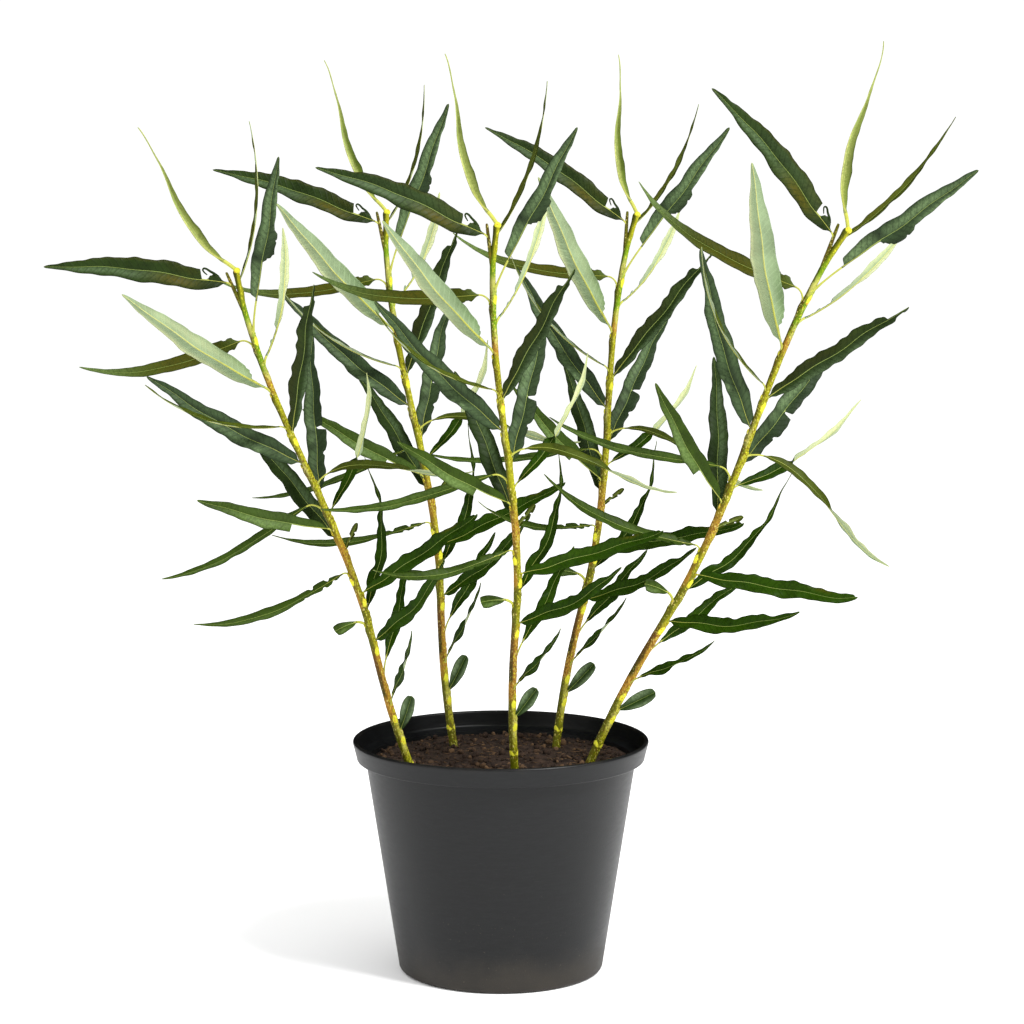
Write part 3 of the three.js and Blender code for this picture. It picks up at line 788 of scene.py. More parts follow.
class Form:
    """A mesh in the making: points, faces, each face's finish, and values for each point."""

    def __init__(self, finishes, *values):
        self.finishes = list(finishes)
        self.points, self.faces, self.slots, self.corners = [], [], [], []
        self.values = {name: [] for name in values}
        self.count = 0

    def add(self, points, faces, corners, slots=0, **values):
        """Takes points, faces, their corners' places on the bake's map, and their finishes."""
        points = np.asarray(points, float).reshape(-1, 3)
        self.points.append(points)
        self.faces.extend([corner + self.count for corner in face] for face in faces)
        self.slots.extend(np.broadcast_to(slots, len(faces)).tolist())
        self.corners.extend(corners)
        for name, rows in self.values.items():
            rows.append(np.broadcast_to(np.ravel(values.get(name, 0.0)), len(points)))
        self.count += len(points)

    def loft(self, rings, where=None, slots=0, **values):
        """Takes rings of points, which are joined up and closed at both ends.

        The function where gives the place on the bake's map of the corner that lies a number of
        rings and columns on from where a side face starts. The ends stay at the map's corner.
        """
        faces, ring, column = lofted(rings)
        corners = unmapped(faces)
        if where:
            places = [where(ring, column, *on) for on in ((0, 0), (0, 1), (1, 1), (1, 0))]
            placed = [np.stack(np.broadcast_arrays(*place), axis=1) for place in places]
            corners[: 4 * len(ring)] = np.stack(placed, axis=1).reshape(-1, 2).tolist()
        self.add(rings, faces, corners, slots, **values)

    def make(self, name, materials):
        """The finished object, in metres, with its finishes in its material slots."""
        mesh = bpy.data.meshes.new(name)
        mesh.from_pydata((np.concatenate(self.points) * MM).tolist(), [], self.faces)
        mesh.polygons.foreach_set("material_index", self.slots)
        mesh.polygons.foreach_set("use_smooth", [True] * len(self.faces))
        layer = mesh.uv_layers.new(name="OFBake")
        layer.data.foreach_set("uv", np.asarray(self.corners, float).ravel())
        for value, rows in self.values.items():
            attribute = mesh.attributes.new(value, "FLOAT", "POINT")
            attribute.data.foreach_set("value", np.concatenate(rows).astype(np.float32))
        for finish in self.finishes:
            mesh.materials.append(materials[finish])
        mesh.update()
        piece = bpy.data.objects.new(name, mesh)
        bpy.context.scene.collection.objects.link(piece)
        return piece


def lofted(rings):
    """Faces through rings of points with both ends closed, and where each side face starts."""
    count, size = rings.shape[:2]
    ring, column = (grid.ravel() for grid in np.mgrid[0 : count - 1, 0:size])
    following = (column + 1) % size
    low, high = ring * size, (ring + 1) * size
    faces = np.stack([low + column, low + following, high + following, high + column], axis=1)
    ends = [list(range(size - 1, -1, -1)), list(range((count - 1) * size, count * size))]
    return faces.tolist() + ends, ring, column


def unmapped(faces):
    """A place at the map's corner for each corner of faces that aren't baked."""
    return [(0.0, 0.0)] * sum(len(face) for face in faces)


def blade_across():
    """Each ring point's half, its share of the way from the rib to the margin, and its face."""
    shares = np.array(ACROSS)
    right, left = np.ones(len(shares)), -np.ones(len(shares))
    half = np.concatenate([right, [0], left, left[1:], [0], right[1:]])
    share = np.concatenate([shares, [0], shares[::-1], shares[1:], [0], shares[:0:-1]])
    upper = np.arange(RING) < TOP_POINTS
    return half, share, upper


def within(t, start, end):
    """1 between two places along a blade, with short soft edges; a start of 0 has none."""
    before = 1 if start == 0 else ease(start - TEAR_EDGE, start + TEAR_EDGE, t)
    return before * (1 - ease(end - TEAR_EDGE, end + TEAR_EDGE, t))


def margins(line, habit, rng, own_rng, t, along):
    """The widths of the right and the left half, uneven and torn as grown."""
    half = line.half_width(t * BLUNT, habit.powers)
    rounded = np.sqrt(1 - np.clip((t - TIP_ROUND) / (1 - TIP_ROUND), 0, 0.97) ** 2)
    stoutness = RIB_HALF_WIDTH["under"] * habit.rib * between(1, RIB_TAPER, t)
    least = np.maximum(stoutness, LEAST_HALF_WIDTH)
    widths = {}
    for side, share, bumps in zip((1, -1), habit.halves, habit.bumps):
        uneven = 1 + ripple(rng, along, *WAVES["widths"])
        uneven = uneven + ripple(own_rng, along, *WAVES["own_widths"])
        scallops = ripple(rng, along, *WAVES["scallops"]) * bumps
        width = half * uneven + scallops * np.minimum(1, half / SCALLOPED_WIDTH)
        width = width * share * rounded
        for torn_side, start, end, kept in TORN.get(line.leaf.name, ()):
            if torn_side == side:
                width = width * (1 - (1 - kept) * within(t, start, end))
        widths[side] = np.maximum(width, least)
    return widths


def patches(name, own_rng, t, half, share):
    """How strongly each kind of patch shows at each point of a blade."""
    strengths = {kind: np.zeros((len(t), len(half))) for kind in PATCH_KINDS}
    # Each leaf's chance patch of painted light, on a half of its own.
    paler = own_rng.choice((1, -1))
    place = own_rng.uniform(*CHANCE["at"])
    strength = own_rng.uniform(*CHANCE["strength"])
    chance = ("lit", paler, (place, CHANCE["reach"]), CHANCE["across"], strength)
    for kind, side, (at, reach), (beside, breadth), strength in [chance, *PATCHES.get(name, [])]:
        along = np.exp(-(((t - at) / reach) ** 2))[:, None]
        on_half = np.where(half == side, 1, 0.5 * (half == 0))
        across = np.exp(-(((share - beside) / breadth) ** 2))
        strengths[kind] = np.maximum(strengths[kind], strength * along * across * on_half)
    return strengths


def stalk_path(line, foot, tangent):
    """The bare stalk's points and directions, from inside the cane to the blade's base."""
    base = line.controls[0]
    bend = base - tangent * np.linalg.norm(base - foot) * STALK_BEND
    t = np.linspace(0, 1, STALK_STEPS, endpoint=False)[:, None]
    points = (1 - t) ** 2 * foot + 2 * (1 - t) * t * bend + t**2 * base
    heading = unit((1 - t) * (bend - foot) + t * (base - bend))
    return points, heading, t[:, 0]


def blade_rings(line, habit, rng, own_rng, t, angles):
    """The blade's rings of points, and each one's distance from the midrib."""
    name, wave = line.leaf.name, line.leaf.wave
    along = t * line.length
    turned = None
    if name in TURNS_OVER:
        middle, reach = TURNS_OVER[name]
        turned = ease(middle - reach, middle + reach, t)
    _, normal, across = line.axes(t, turned, FACING.get(name))
    grown = ease(0, WAVES_GROWN, t)
    roll = ripple(rng, along, *WAVES["roll"]) * grown
    roll += ripple(rng, along, *WAVES["restless_roll"]) * wave * grown
    twisting = np.sin(2 * np.pi * (TWIST["turns"] * t - TWIST["start"]))
    roll += habit.twist * twisting * ease(0, TWIST["grown"], t)
    cos, sin = np.cos(roll)[:, None], np.sin(roll)[:, None]
    normal, across = normal * cos + across * sin, across * cos - normal * sin
    wander = ripple(rng, along, *WAVES["midrib"]) * wave * grown
    centre = line.point(t) + across * wander[:, None]

    half, share, upper = blade_across()
    on_right = half >= 0
    widths = margins(line, habit, rng, own_rng, t, along)
    width = np.where(on_right, widths[1][:, None], widths[-1][:, None])
    rib = np.where(upper, RIB_HALF_WIDTH["top"], RIB_HALF_WIDTH["under"]) * habit.rib
    rib = np.minimum(rib * between(1, RIB_TAPER, t)[:, None], 0.5 * width)
    # Where the blade is torn off, its bare rib is all that is left.
    bare = (1 - ease(*BARE["widths"], width)) * (1 - ease(*BARE["until"], t))[:, None]
    rib = between(rib, BARE["rib"] * width, bare)
    x = half * (rib + (width - rib) * share)
    waves = {}
    for side in (1, -1):
        lengths, strengths = WAVES["margin"]
        waves[side] = ripple(rng, along, lengths, rng.uniform(*strengths) * wave)
        waves[side] += ripple(own_rng, along, *WAVES["own_margin"]) * wave
    z = np.where(on_right, waves[1][:, None], waves[-1][:, None]) * share ** WAVE_POWERS["across"]
    z = z * np.sin(np.pi * np.clip(t, 0.02, 0.98))[:, None] ** WAVE_POWERS["along"]
    phase = (along[:, None] - VEIN_SLANT * np.abs(x)) / VEIN_SPACING
    veins = VEIN_RELIEF * LOOKS[line.leaf.look].veins
    z = z + veins * np.sin(2 * np.pi * phase) * np.sin(np.pi * share)
    rolled = np.clip((share - MARGIN_ROLL["from"]) / (1 - MARGIN_ROLL["from"]), 0, 1)
    z = z + FOLD * np.abs(x) - MARGIN_ROLL["depth"] * width * rolled**2
    z = z + BLADE_HALF_DEPTH * (1 - share**4) * np.where(upper, 1, -1)
    crest = np.where(half == 0, np.where(upper, -GROOVE_DEPTH, -RIB_DEPTH * habit.rib), 0)
    z = z + crest * between(1, CREST_TAPER, t)[:, None]

    opened = ease(0, OPENS_OVER, t)[:, None]
    x = between(STALK_HALF_WIDTH * habit.rib * np.cos(angles), x, opened)
    z = between(STALK_HALF_DEPTH * habit.rib * np.sin(angles), z, opened)
    rings = centre[:, None] + x[..., None] * across[:, None] + z[..., None] * normal[:, None]
    return rings, np.abs(x)


def stalk_rings(line, foot, habit, tangent, normal, angles):
    """The stalk's rings of points, and how far up it each one lies."""
    points, heading, up = stalk_path(line, foot, tangent)
    over = unit(normal - heading * (heading @ normal)[:, None])
    beside = np.cross(heading, over)
    girth = habit.rib * between(habit.flare, 1, ease(0, 0.5, up))
    axes = (STALK_HALF_WIDTH * beside[:, None], STALK_HALF_DEPTH * over[:, None])
    return points[:, None] + girth[:, None, None] * section(angles, *axes), up


def leaf_slots(form, look, rings, share):
    """The finish of each face of a leaf: its stalk, its two sides and the ribs on them."""
    kinds = (look, "silver", "stalk", "rib", "under_rib")
    slot = {kind: form.finishes.index(kind) for kind in kinds}
    _, ring, column = lofted(rings)
    on_top = column < TOP_POINTS - 1
    by_rib = share[column] + share[(column + 1) % RING] == 0
    slots = np.where(on_top, slot[look], slot["silver"])
    slots = np.where(by_rib, np.where(on_top, slot["rib"], slot["under_rib"]), slots)
    slots = np.where(ring < STALK_STEPS, slot["stalk"], slots)
    return slots.tolist() + [slot["stalk"]] * 2


def add_leaf(form, line, number, shoot_number):
    """Adds one leaf: a stalk that opens into a folded, veined blade with a rib underneath."""
    leaf = line.leaf
    habit = HABITS.get(leaf.name, Habit())
    rng = np.random.default_rng([number, 11])
    own_rng = np.random.default_rng([number, shoot_number, 5])
    steps = int(np.clip(line.size / BLADE_STEP, LEAST_STEPS, MOST_STEPS))
    s = np.linspace(0, 1, steps + 1)
    t = EVENLY * s + (1 - EVENLY) * (0.5 - 0.5 * np.cos(np.pi * s))
    half_turn = np.linspace(0, np.pi, TOP_POINTS)
    angles = np.concatenate([half_turn, half_turn[1:-1] + np.pi])
    blade, from_rib = blade_rings(line, habit, rng, own_rng, t, angles)
    tangent, normal, _ = line.axes(t[:1], facing=FACING.get(leaf.name))
    shift = (stub_shift if habit.on_stub else fork_shift)(leaf.at)
    foot = line.foot + line.shoot.side * shift * line.shoot.scale
    stalk, up = stalk_rings(line, foot, habit, tangent[0], normal[0], angles)
    rings = np.concatenate([stalk, blade])
    sheet = TOP_POINTS - 1

    def where(ring, column, rings_on, columns_on):
        # Each leaf has a strip of the map, its upper side on the left and its underside right.
        under = column >= sheet
        u = (ring + rings_on) / (len(rings) - 1)
        v = (column + columns_on - np.where(under, sheet, 0)) / sheet
        return 0.5 * under + 0.01 + 0.48 * u, (number + 0.08 + 0.84 * v) / len(LEAVES)

    half, share, _ = blade_across()
    bare = np.zeros((STALK_STEPS, RING))
    painted = {
        kind: np.concatenate([bare, values])
        for kind, values in patches(leaf.name, own_rng, t, half, share).items()
    }
    stalk_length = np.linalg.norm(line.controls[0] - foot)
    form.loft(
        rings,
        where,
        leaf_slots(form, leaf.look, rings, share),
        along=np.repeat(np.concatenate([(up - 1) * stalk_length, t * line.length]), RING),
        run=np.repeat(np.concatenate([np.zeros(STALK_STEPS), t]), RING),
        across=np.concatenate([bare, from_rib]),
        edge=np.concatenate([bare, np.broadcast_to(share, from_rib.shape)]),
        tone=own_rng.random(),
        **painted,
    )


def add_curl(form, line, number):
    """Adds a thin curl of torn blade beside the midrib, near the foot of a leaf."""
    steps, sides = CURL_FORM["steps"], CURL_FORM["sides"]
    drawn = np.linspace(0, 1, len(CURL))
    along, beside = (np.interp(np.linspace(0, 1, steps), drawn, row) for row in np.array(CURL).T)
    for row in (along, beside):
        row[1:-1] = np.convolve(row, (0.25, 0.5, 0.25), "valid")
    t = along / line.length
    _, normal, across = line.axes(t)
    lift = CURL_FORM["lift"] + CURL_FORM["wave"] * np.sin(along)
    centres = line.point(t) + across * beside[:, None] + normal * lift[:, None]
    flat = unit(np.cross(unit(np.gradient(centres, axis=0)), normal))
    girth = CURL_FORM["half_width"] * np.linspace(1, CURL_FORM["taper"], steps)
    axes = (flat[:, None], CURL_FORM["flatness"] * normal[:, None])
    rings = centres[:, None] + girth[:, None, None] * section(once_round(sides), *axes)

    def where(ring, column, rings_on, columns_on):
        u, v = (ring + rings_on) / (steps - 1), (column + columns_on) / sides
        return 0.02 + 0.4 * u, (number + 0.94 + 0.04 * v) / len(LEAVES)

    form.loft(rings, where, form.finishes.index(line.leaf.look), run=0.1, edge=0.5)


class Recipe:
    """A material's nodes: each call adds a node and gives its output."""

    def __init__(self, name):
        self.material = bpy.data.materials.new(name)
        self.material.use_nodes = True
        self.tree = self.material.node_tree
        self.shader = self.tree.nodes["Principled BSDF"]

    def feed(self, socket, value):
        if isinstance(value, bpy.types.NodeSocket):
            self.tree.links.new(value, socket)
        elif socket.type == "RGBA":
            socket.default_value = (*value, 1)
        else:
            socket.default_value = value

    def node(self, kind, inputs, output=0, **settings):
        node = self.tree.nodes.new(kind)
        for name, value in settings.items():
            setattr(node, name, value)
        for name, value in inputs.items():
            self.feed(node.inputs[name], value)
        return node.outputs[output]

    def place(self, stretch=(1, 1, 1)):
        """Where a point is on the object, squeezed along some axes to stretch a pattern."""
        inputs = {"Vector": self.node("ShaderNodeTexCoord", {}, "Object"), "Scale": stretch}
        return self.node("ShaderNodeMapping", inputs)

    def value(self, name):
        return self.node("ShaderNodeAttribute", {}, "Fac", attribute_name=name)

    def noise(self, spacing, detail=3.0, stretch=(1, 1, 1)):
        """Noise whose features are about spacing millimetres apart."""
        inputs = {"Vector": self.place(stretch), "Scale": 1 / (spacing * MM), "Detail": detail}
        return self.node("ShaderNodeTexNoise", inputs, "Fac")

    def maths(self, operation, first, second=0.0):
        return self.node("ShaderNodeMath", {0: first, 1: second}, operation=operation)

    def times(self, first, second):
        return self.maths("MULTIPLY", first, second)

    def plus(self, first, second):
        return self.maths("ADD", first, second)

    def ease(self, value, low, high, start=0.0, end=1.0):
        inputs = {"Value": value, "From Min": low, "From Max": high, "To Min": start, "To Max": end}
        return self.node("ShaderNodeMapRange", inputs, interpolation_type="SMOOTHSTEP")

    def mix(self, share, low, high):
        return self.node("ShaderNodeMix", {0: share, 6: low, 7: high}, 2, data_type="RGBA")

    def over(self, body, share, strength, colour):
        """A body with some of a colour laid over it, where a share says."""
        return self.mix(self.times(share, strength), body, colour)

    def bump(self, height, depth, under=None):
        """Relief of some millimetres from a height of 0 to 1."""
        inputs = {"Height": height, "Distance": depth * MM}
        if under:
            inputs["Normal"] = under
        return self.node("ShaderNodeBump", inputs)

    def finish(self, colour, roughness, normal=None, **constants):
        self.feed(self.shader.inputs["Base Color"], colour)
        self.feed(self.shader.inputs["Roughness"], roughness)
        if normal:
            self.feed(self.shader.inputs["Normal"], normal)
        for name, value in constants.items():
            self.shader.inputs[name.replace("_", " ")].default_value = value
        return self.material


def shade(colour, factor):
    return tuple(min(1.0, channel * factor) for channel in colour)


def colours(settings, *names):
    """The colours that the settings hold under these names."""
    return [tuple(getattr(settings, name)) for name in names]


def vein_pattern(recipe):
    """Thin slanting lateral veins, 1 on a vein and 0 between two."""
    wander = recipe.times(recipe.noise(9, 1), 0.8)
    slant = recipe.times(recipe.value("across"), VEIN_SLANT)
    run = recipe.maths("SUBTRACT", recipe.value("along"), slant)
    run = recipe.plus(recipe.maths("DIVIDE", run, VEIN_SPACING), wander)
    wave = recipe.maths("SINE", recipe.times(run, math.pi))
    return recipe.maths("POWER", recipe.maths("ABSOLUTE", wave), VEIN_THINNESS)


def upper_blade(look, settings):
    """The green upper side: mottling, brown patches, patches of painted light and shade, and faint
    veins and margins in painted shade.
    """
    recipe = Recipe(f"{look}_blade")
    colour, brown = colours(settings, look, "brown")
    lit, roughness, shine, plainness = LOOKS[look]
    veins = recipe.times(vein_pattern(recipe), plainness)
    fine = recipe.ease(recipe.noise(1.4, 4), 0.34, 0.66)
    cloud = recipe.ease(recipe.noise(13, 4), 0.38, 0.62)
    green = recipe.mix(cloud, shade(colour, 0.66), shade(colour, 1.2))
    green = recipe.over(green, fine, 0.5, shade(colour, 1.6))
    green = recipe.over(green, recipe.value("tone"), 0.25, shade(colour, 1.4))
    broken = recipe.ease(fine, 0.0, 1.0, 0.6, 1.0)
    # Patches of painted light (lit), of the blade's own brown, and of painted shade (dark).
    for kind, patch in zip(PATCH_KINDS, (lit, brown, shade(colour, 0.35))):
        green = recipe.over(green, recipe.value(kind), broken, patch)
    # Painted shade along the margins, where they roll under.
    margin = recipe.maths("POWER", recipe.value("edge"), 6)
    green = recipe.over(green, margin, 0.45, shade(colour, 0.4))
    # Painted shade in the sunken veins.
    green = recipe.over(green, veins, 0.3, shade(colour, 0.5))
    rough = recipe.ease(fine, 0.0, 1.0, roughness, roughness + 0.12)
    relief = recipe.maths("SUBTRACT", recipe.times(recipe.noise(0.9, 2), 0.3), veins)
    return recipe.finish(green, rough, recipe.bump(relief, 0.1), Specular_IOR_Level=shine)


def under_blade(settings):
    """The pale underside: raised veins under silky hairs, greener towards the base, with patches of
    painted light in cream and of painted shade in green.
    """
    recipe = Recipe("silver_underside")
    colour, cream = colours(settings, "silver", "cream")
    veins = vein_pattern(recipe)
    hairs = recipe.ease(recipe.noise(0.9, 3), 0.3, 0.7)
    cloud = recipe.ease(recipe.noise(12, 3), 0.35, 0.65)
    pale = recipe.mix(cloud, shade(colour, 0.88), shade(colour, 1.1))
    pale = recipe.over(pale, hairs, 0.2, shade(colour, 1.25))
    green = (colour[0] * 0.5, colour[1] * 0.66, colour[2] * 0.4)
    low = recipe.ease(recipe.value("run"), 0.4, 0.0, 0.0, 0.35)
    # Greener towards the base, and in the patches of painted shade.
    pale = recipe.mix(recipe.maths("MAXIMUM", low, recipe.value("dark")), pale, green)
    # Cream in the patches of painted light.
    pale = recipe.mix(recipe.value("lit"), pale, cream)
    pale = recipe.over(pale, veins, 0.35, shade(colour, 1.4))
    relief = recipe.bump(recipe.plus(recipe.times(hairs, 0.35), veins), 0.12)
    return recipe.finish(pale, 0.62, relief, Sheen_Weight=0.1, Specular_IOR_Level=0.15)


def rib_finish(name, low, high, start, end):
    """A stalk or midrib that fades from one colour to another along the blade."""
    recipe = Recipe(name)
    streaks = recipe.ease(recipe.noise(4, 3), 0.35, 0.65)
    body = recipe.mix(recipe.ease(recipe.value("run"), start, end), low, high)
    body = recipe.over(body, streaks, 0.35, shade(low, 0.7))
    relief = recipe.bump(recipe.noise(0.7, 2), 0.05)
    return recipe.finish(body, 0.45, relief, Specular_IOR_Level=0.2)


class OSIER_OT_add_leaves(Operator):
    """Grow the leaves of every shoot, with their stalks and midribs, in place of its masses"""

    bl_idname = "osier.add_leaves"
    bl_label = "Add leaves"

    def execute(self, context):
        settings = context.scene.osier_leaves
        stalk, rib, pale_rib = colours(settings, "stalk", "rib", "pale_rib")
        materials = {look: upper_blade(look, settings) for look in LOOKS}
        materials["silver"] = under_blade(settings)
        materials["stalk"] = rib_finish("leaf_stalk", stalk, stalk, 0, 1)
        materials["rib"] = rib_finish("midrib", shade(stalk, 0.75), rib, 0.0, 0.3)
        materials["under_rib"] = rib_finish("underside_rib", stalk, pale_rib, 0.1, 0.7)
        for number, (_, lines) in enumerate(grown_shoots(), start=1):
            form = Form(materials, "along", "run", "across", "edge", "tone", *PATCH_KINDS)
            for place, line in enumerate(lines):
                add_leaf(form, line, place, number)
                if line.leaf.name == CURLED:
                    add_curl(form, line, place)
            piece = form.make(f"foliage_{number}", materials)
            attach(piece, "root")
            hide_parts(*(f"{mass}_{number}" for mass in MASSES))
        return {"FINISHED"}


def bark_zones(recipe, settings, level, zones):
    """The bark's plain colour up one side of a cane, by height."""
    ramp = recipe.tree.nodes.new("ShaderNodeValToRGB")
    recipe.feed(ramp.inputs["Fac"], recipe.maths("DIVIDE", level, PATTERN_LENGTH))
    stops = ramp.color_ramp.elements
    while len(stops) < len(zones):
        stops.new(1.0)
    for stop, (height, name) in zip(stops, zones):
        stop.position = height / PATTERN_LENGTH
        stop.color = (*getattr(settings, name), 1)
    return ramp.outputs["Color"]


def bark_finish(settings):
    """Smooth osier bark in olive, tan and yellow stretches, with speckle and pale pores, painted
    shade on its left side, and painted light and glints on its right.
    """
    recipe = Recipe("osier_bark")
    names = ("dark", "brown", "tan", "cushion", "cork")
    dark, brown, tan, cushion, cork = colours(settings, *names)
    wander = recipe.times(recipe.maths("SUBTRACT", recipe.noise(7, 3), 0.5), 13)
    level = recipe.plus(recipe.value("height"), wander)
    streaks = recipe.noise(2.4, 4, stretch=(1, 1, 0.14))
    right = recipe.plus(recipe.value("right"), recipe.times(streaks, 1.6))
    # Painted light and shade: the right side takes the lit ramp, the left side the shaded one.
    body = recipe.mix(
        recipe.ease(right, 0.45, 1.15),
        bark_zones(recipe, settings, level, BARK_LEFT),
        bark_zones(recipe, settings, level, BARK_RIGHT),
    )
    body = recipe.mix(recipe.ease(streaks, 0.5, 0.78, 0.0, 0.5), body, dark)
    # Painted shade down the left side of the upper cane.
    shady = recipe.times(recipe.ease(right, 0.42, 0.02), recipe.ease(level, 176, 200))
    body = recipe.over(body, shady, 0.75, dark)
    speckle = recipe.noise(0.9, 4, stretch=(1, 1, 0.6))
    rough_bark = recipe.ease(recipe.noise(13, 2), 0.36, 0.56, 0.25, 1.0)
    rough_bark = recipe.times(rough_bark, recipe.ease(level, 318, 338, 1.0, 0.15))
    brown_spots = recipe.times(recipe.ease(speckle, 0.52, 0.6), rough_bark)
    body = recipe.over(body, brown_spots, 0.75, brown)
    pale_spots = recipe.times(recipe.ease(speckle, 0.42, 0.34), rough_bark)
    body = recipe.over(body, pale_spots, 0.65, cork)
    # Painted glints: yellow flecks that show only on the lit right side.
    flecks = recipe.ease(recipe.noise(0.7, 3, stretch=(1, 1, 0.5)), 0.56, 0.64, 0.0, 0.7)
    body = recipe.over(body, flecks, recipe.ease(right, 0.5, 1.3), cushion)
    blotch = recipe.noise(1.5, 3)
    scar = recipe.plus(recipe.value("scar"), recipe.times(blotch, 0.7))
    yellow = recipe.mix(recipe.ease(blotch, 0.57, 0.68), cushion, shade(tan, 1.5))
    body = recipe.mix(recipe.ease(scar, 0.85, 1.1), body, yellow)
    inputs = {"Vector": recipe.place((1, 1, 0.6)), "Scale": 420}
    cells = recipe.node("ShaderNodeTexVoronoi", inputs, "Distance")
    few = recipe.ease(recipe.noise(4.2, 1), 0.48, 0.56)
    pores = recipe.times(recipe.ease(cells, 0.14, 0.26, 1, 0), few)
    body = recipe.over(body, pores, 0.85, cork)
    relief = recipe.bump(recipe.plus(pores, recipe.times(streaks, 0.6)), 0.12)
    relief = recipe.bump(speckle, 0.1, relief)
    rough = recipe.ease(speckle, 0.3, 0.7, 0.4, 0.62)
    return recipe.finish(body, rough, relief, Specular_IOR_Level=0.12)


def fork_shift(height):
    """How far right of the cane's line the young shoot is at a height, in the pattern's frame."""
    return FORK["shoot"] * ease(FORK["from"], PATTERN_LENGTH + 12, height)


def stub_shift(height):
    """How far right of the cane's line the cut stub is at a height."""
    return FORK["stub"] * (height - FORK["from"]) / (FORK["stub_to"] - FORK["from"])


def bark_radius(height):
    return cane_radius(height) * between(*STOUTNESS, height / PATTERN_LENGTH)


def turned_from(angles, middle):
    """How far angles are turned from a middle one, the shorter way round."""
    return np.angle(np.exp(1j * (angles - middle)))


def cane_relief(heights, angles, lines, points):
    """How far the bark stands out, and where it is scarred, on a grid of heights and angles."""
    relief = sum(depth * grain(points, spacing) for spacing, depth in BARK_GRAIN)
    relief = relief.reshape(heights.shape)
    scar = np.zeros_like(heights)
    for line in lines:
        turned = turned_from(angles, line.angle)
        above = heights - line.leaf.at
        reach = np.where(above > 0, CUSHION["above"], CUSHION["below"])
        cushion = np.exp(-((turned / CUSHION["across"]) ** 2) - (above / reach) ** 2)
        ridge = np.exp(-((turned / RIDGE["across"]) ** 2)) * ease(*RIDGE["below"], above)
        relief += CUSHION["height"] * cushion + RIDGE["height"] * ridge * (above < 0)
        facing = line.angle - SCAR["to_front"] * np.cos(line.angle)
        taper = np.clip(1 - SCAR["taper"] * (above + SCAR["below"]), 0.4, 1.3)
        aside = turned_from(angles, facing) / (SCAR["across"] * taper)
        strength = 1 if line.leaf.name in SCARRED else SCAR["faint"]
        spot = np.exp(-(aside**2) - ((above + SCAR["below"]) / SCAR["along"]) ** 2)
        scar = np.maximum(scar, strength * spot)
    ring_at = RING_SCAR["at"] + 0.7 * np.sin(2 * angles + 1) + 0.4 * np.sin(5 * angles)
    ring = np.exp(-(((heights - ring_at) / RING_SCAR["reach"]) ** 2))
    ring *= 0.75 + 0.25 * np.sin(3 * angles + 2)
    relief += RING_SCAR["height"] * ring
    return relief, np.maximum(scar, RING_SCAR["scar"] * ring)


def add_cane(form, shoot, lines, sides):
    """Adds one cane from below the soil to its tip, with its cushions and ridges."""
    heights = np.arange(shoot.buried - SUNK, PATTERN_LENGTH + CANE_STEP / 2, CANE_STEP)
    grid_heights, grid_angles = np.meshgrid(heights, once_round(sides), indexing="ij")
    around = section(once_round(sides), shoot.side, shoot.back)
    centre = shoot.cane_point(heights, fork_shift(heights))[:, None]
    surface = centre + bark_radius(grid_heights)[..., None] * shoot.scale * around
    relief, scar = cane_relief(grid_heights, grid_angles, lines, surface.reshape(-1, 3))
    tip = 1 - np.clip((PATTERN_LENGTH - grid_heights) / TIP_LENGTH, 0, 1)
    radius = (bark_radius(grid_heights) + relief) * np.sqrt(np.clip(1 - tip**2, 0.02, 1))
    rings = centre + shoot.scale * radius[..., None] * around
    per_band = math.ceil((len(heights) - 1) / BAKE_BANDS)

    def where(ring, column, rings_on, columns_on):
        band = ring // per_band
        u = (ring - band * per_band + rings_on) / per_band
        v = (column + columns_on) / sides
        return 0.02 + 0.96 * u, (band + 0.04 + 0.92 * v) / (BAKE_BANDS + 1)

    # The right value, the cosine round the cane, sets where its bark takes painted light and
    # painted shade.
    form.loft(rings, where, height=grid_heights, scar=scar, right=np.cos(grid_angles))


def add_spindle(form, centres, radii, axes, cell, cells, **values):
    """Adds a closed spindle through a row of centres, its section spread along two axes."""
    rings = centres[:, None] + radii[:, None, None] * section(once_round(SPINDLE_SIDES), *axes)

    def where(ring, column, rings_on, columns_on):
        # The small parts of a cane share the spare band at the map's top.
        u = (cell + 0.06 + 0.88 * (ring + rings_on) / (len(rings) - 1)) / cells
        v = BAKE_BANDS + 0.06 + 0.88 * (column + columns_on) / SPINDLE_SIDES
        return u, v / (BAKE_BANDS + 1)

    form.loft(rings, where, **values)


def add_buds(form, shoot, lines):
    """Adds the bud that sits above each leaf's foot, pressed to the cane."""
    t = np.linspace(0, 1, BUD["rings"])
    girth = np.sqrt(np.clip(np.sin(np.pi * np.clip(t, 0.02, 0.985) ** 0.75), 0, 1))
    for number, line in enumerate(lines):
        size = between(*BUD["size"], line.leaf.at / PATTERN_LENGTH)
        heights = line.leaf.at + BUD["above"] + t * BUD["length"] * size
        outward = math.cos(line.angle) * shoot.side + math.sin(line.angle) * shoot.back
        beside = np.cross(shoot.along, outward)
        reach = (bark_radius(heights) + BUD["leans"] * t) * shoot.scale
        centres = shoot.cane_point(heights, fork_shift(heights)) + reach[:, None] * outward
        axes = (beside * BUD["width"] * size, outward * BUD["depth"] * size)
        bark = {"height": line.leaf.at, **BUD_BARK}
        add_spindle(form, centres, girth, axes, number, len(lines) + 2, **bark)


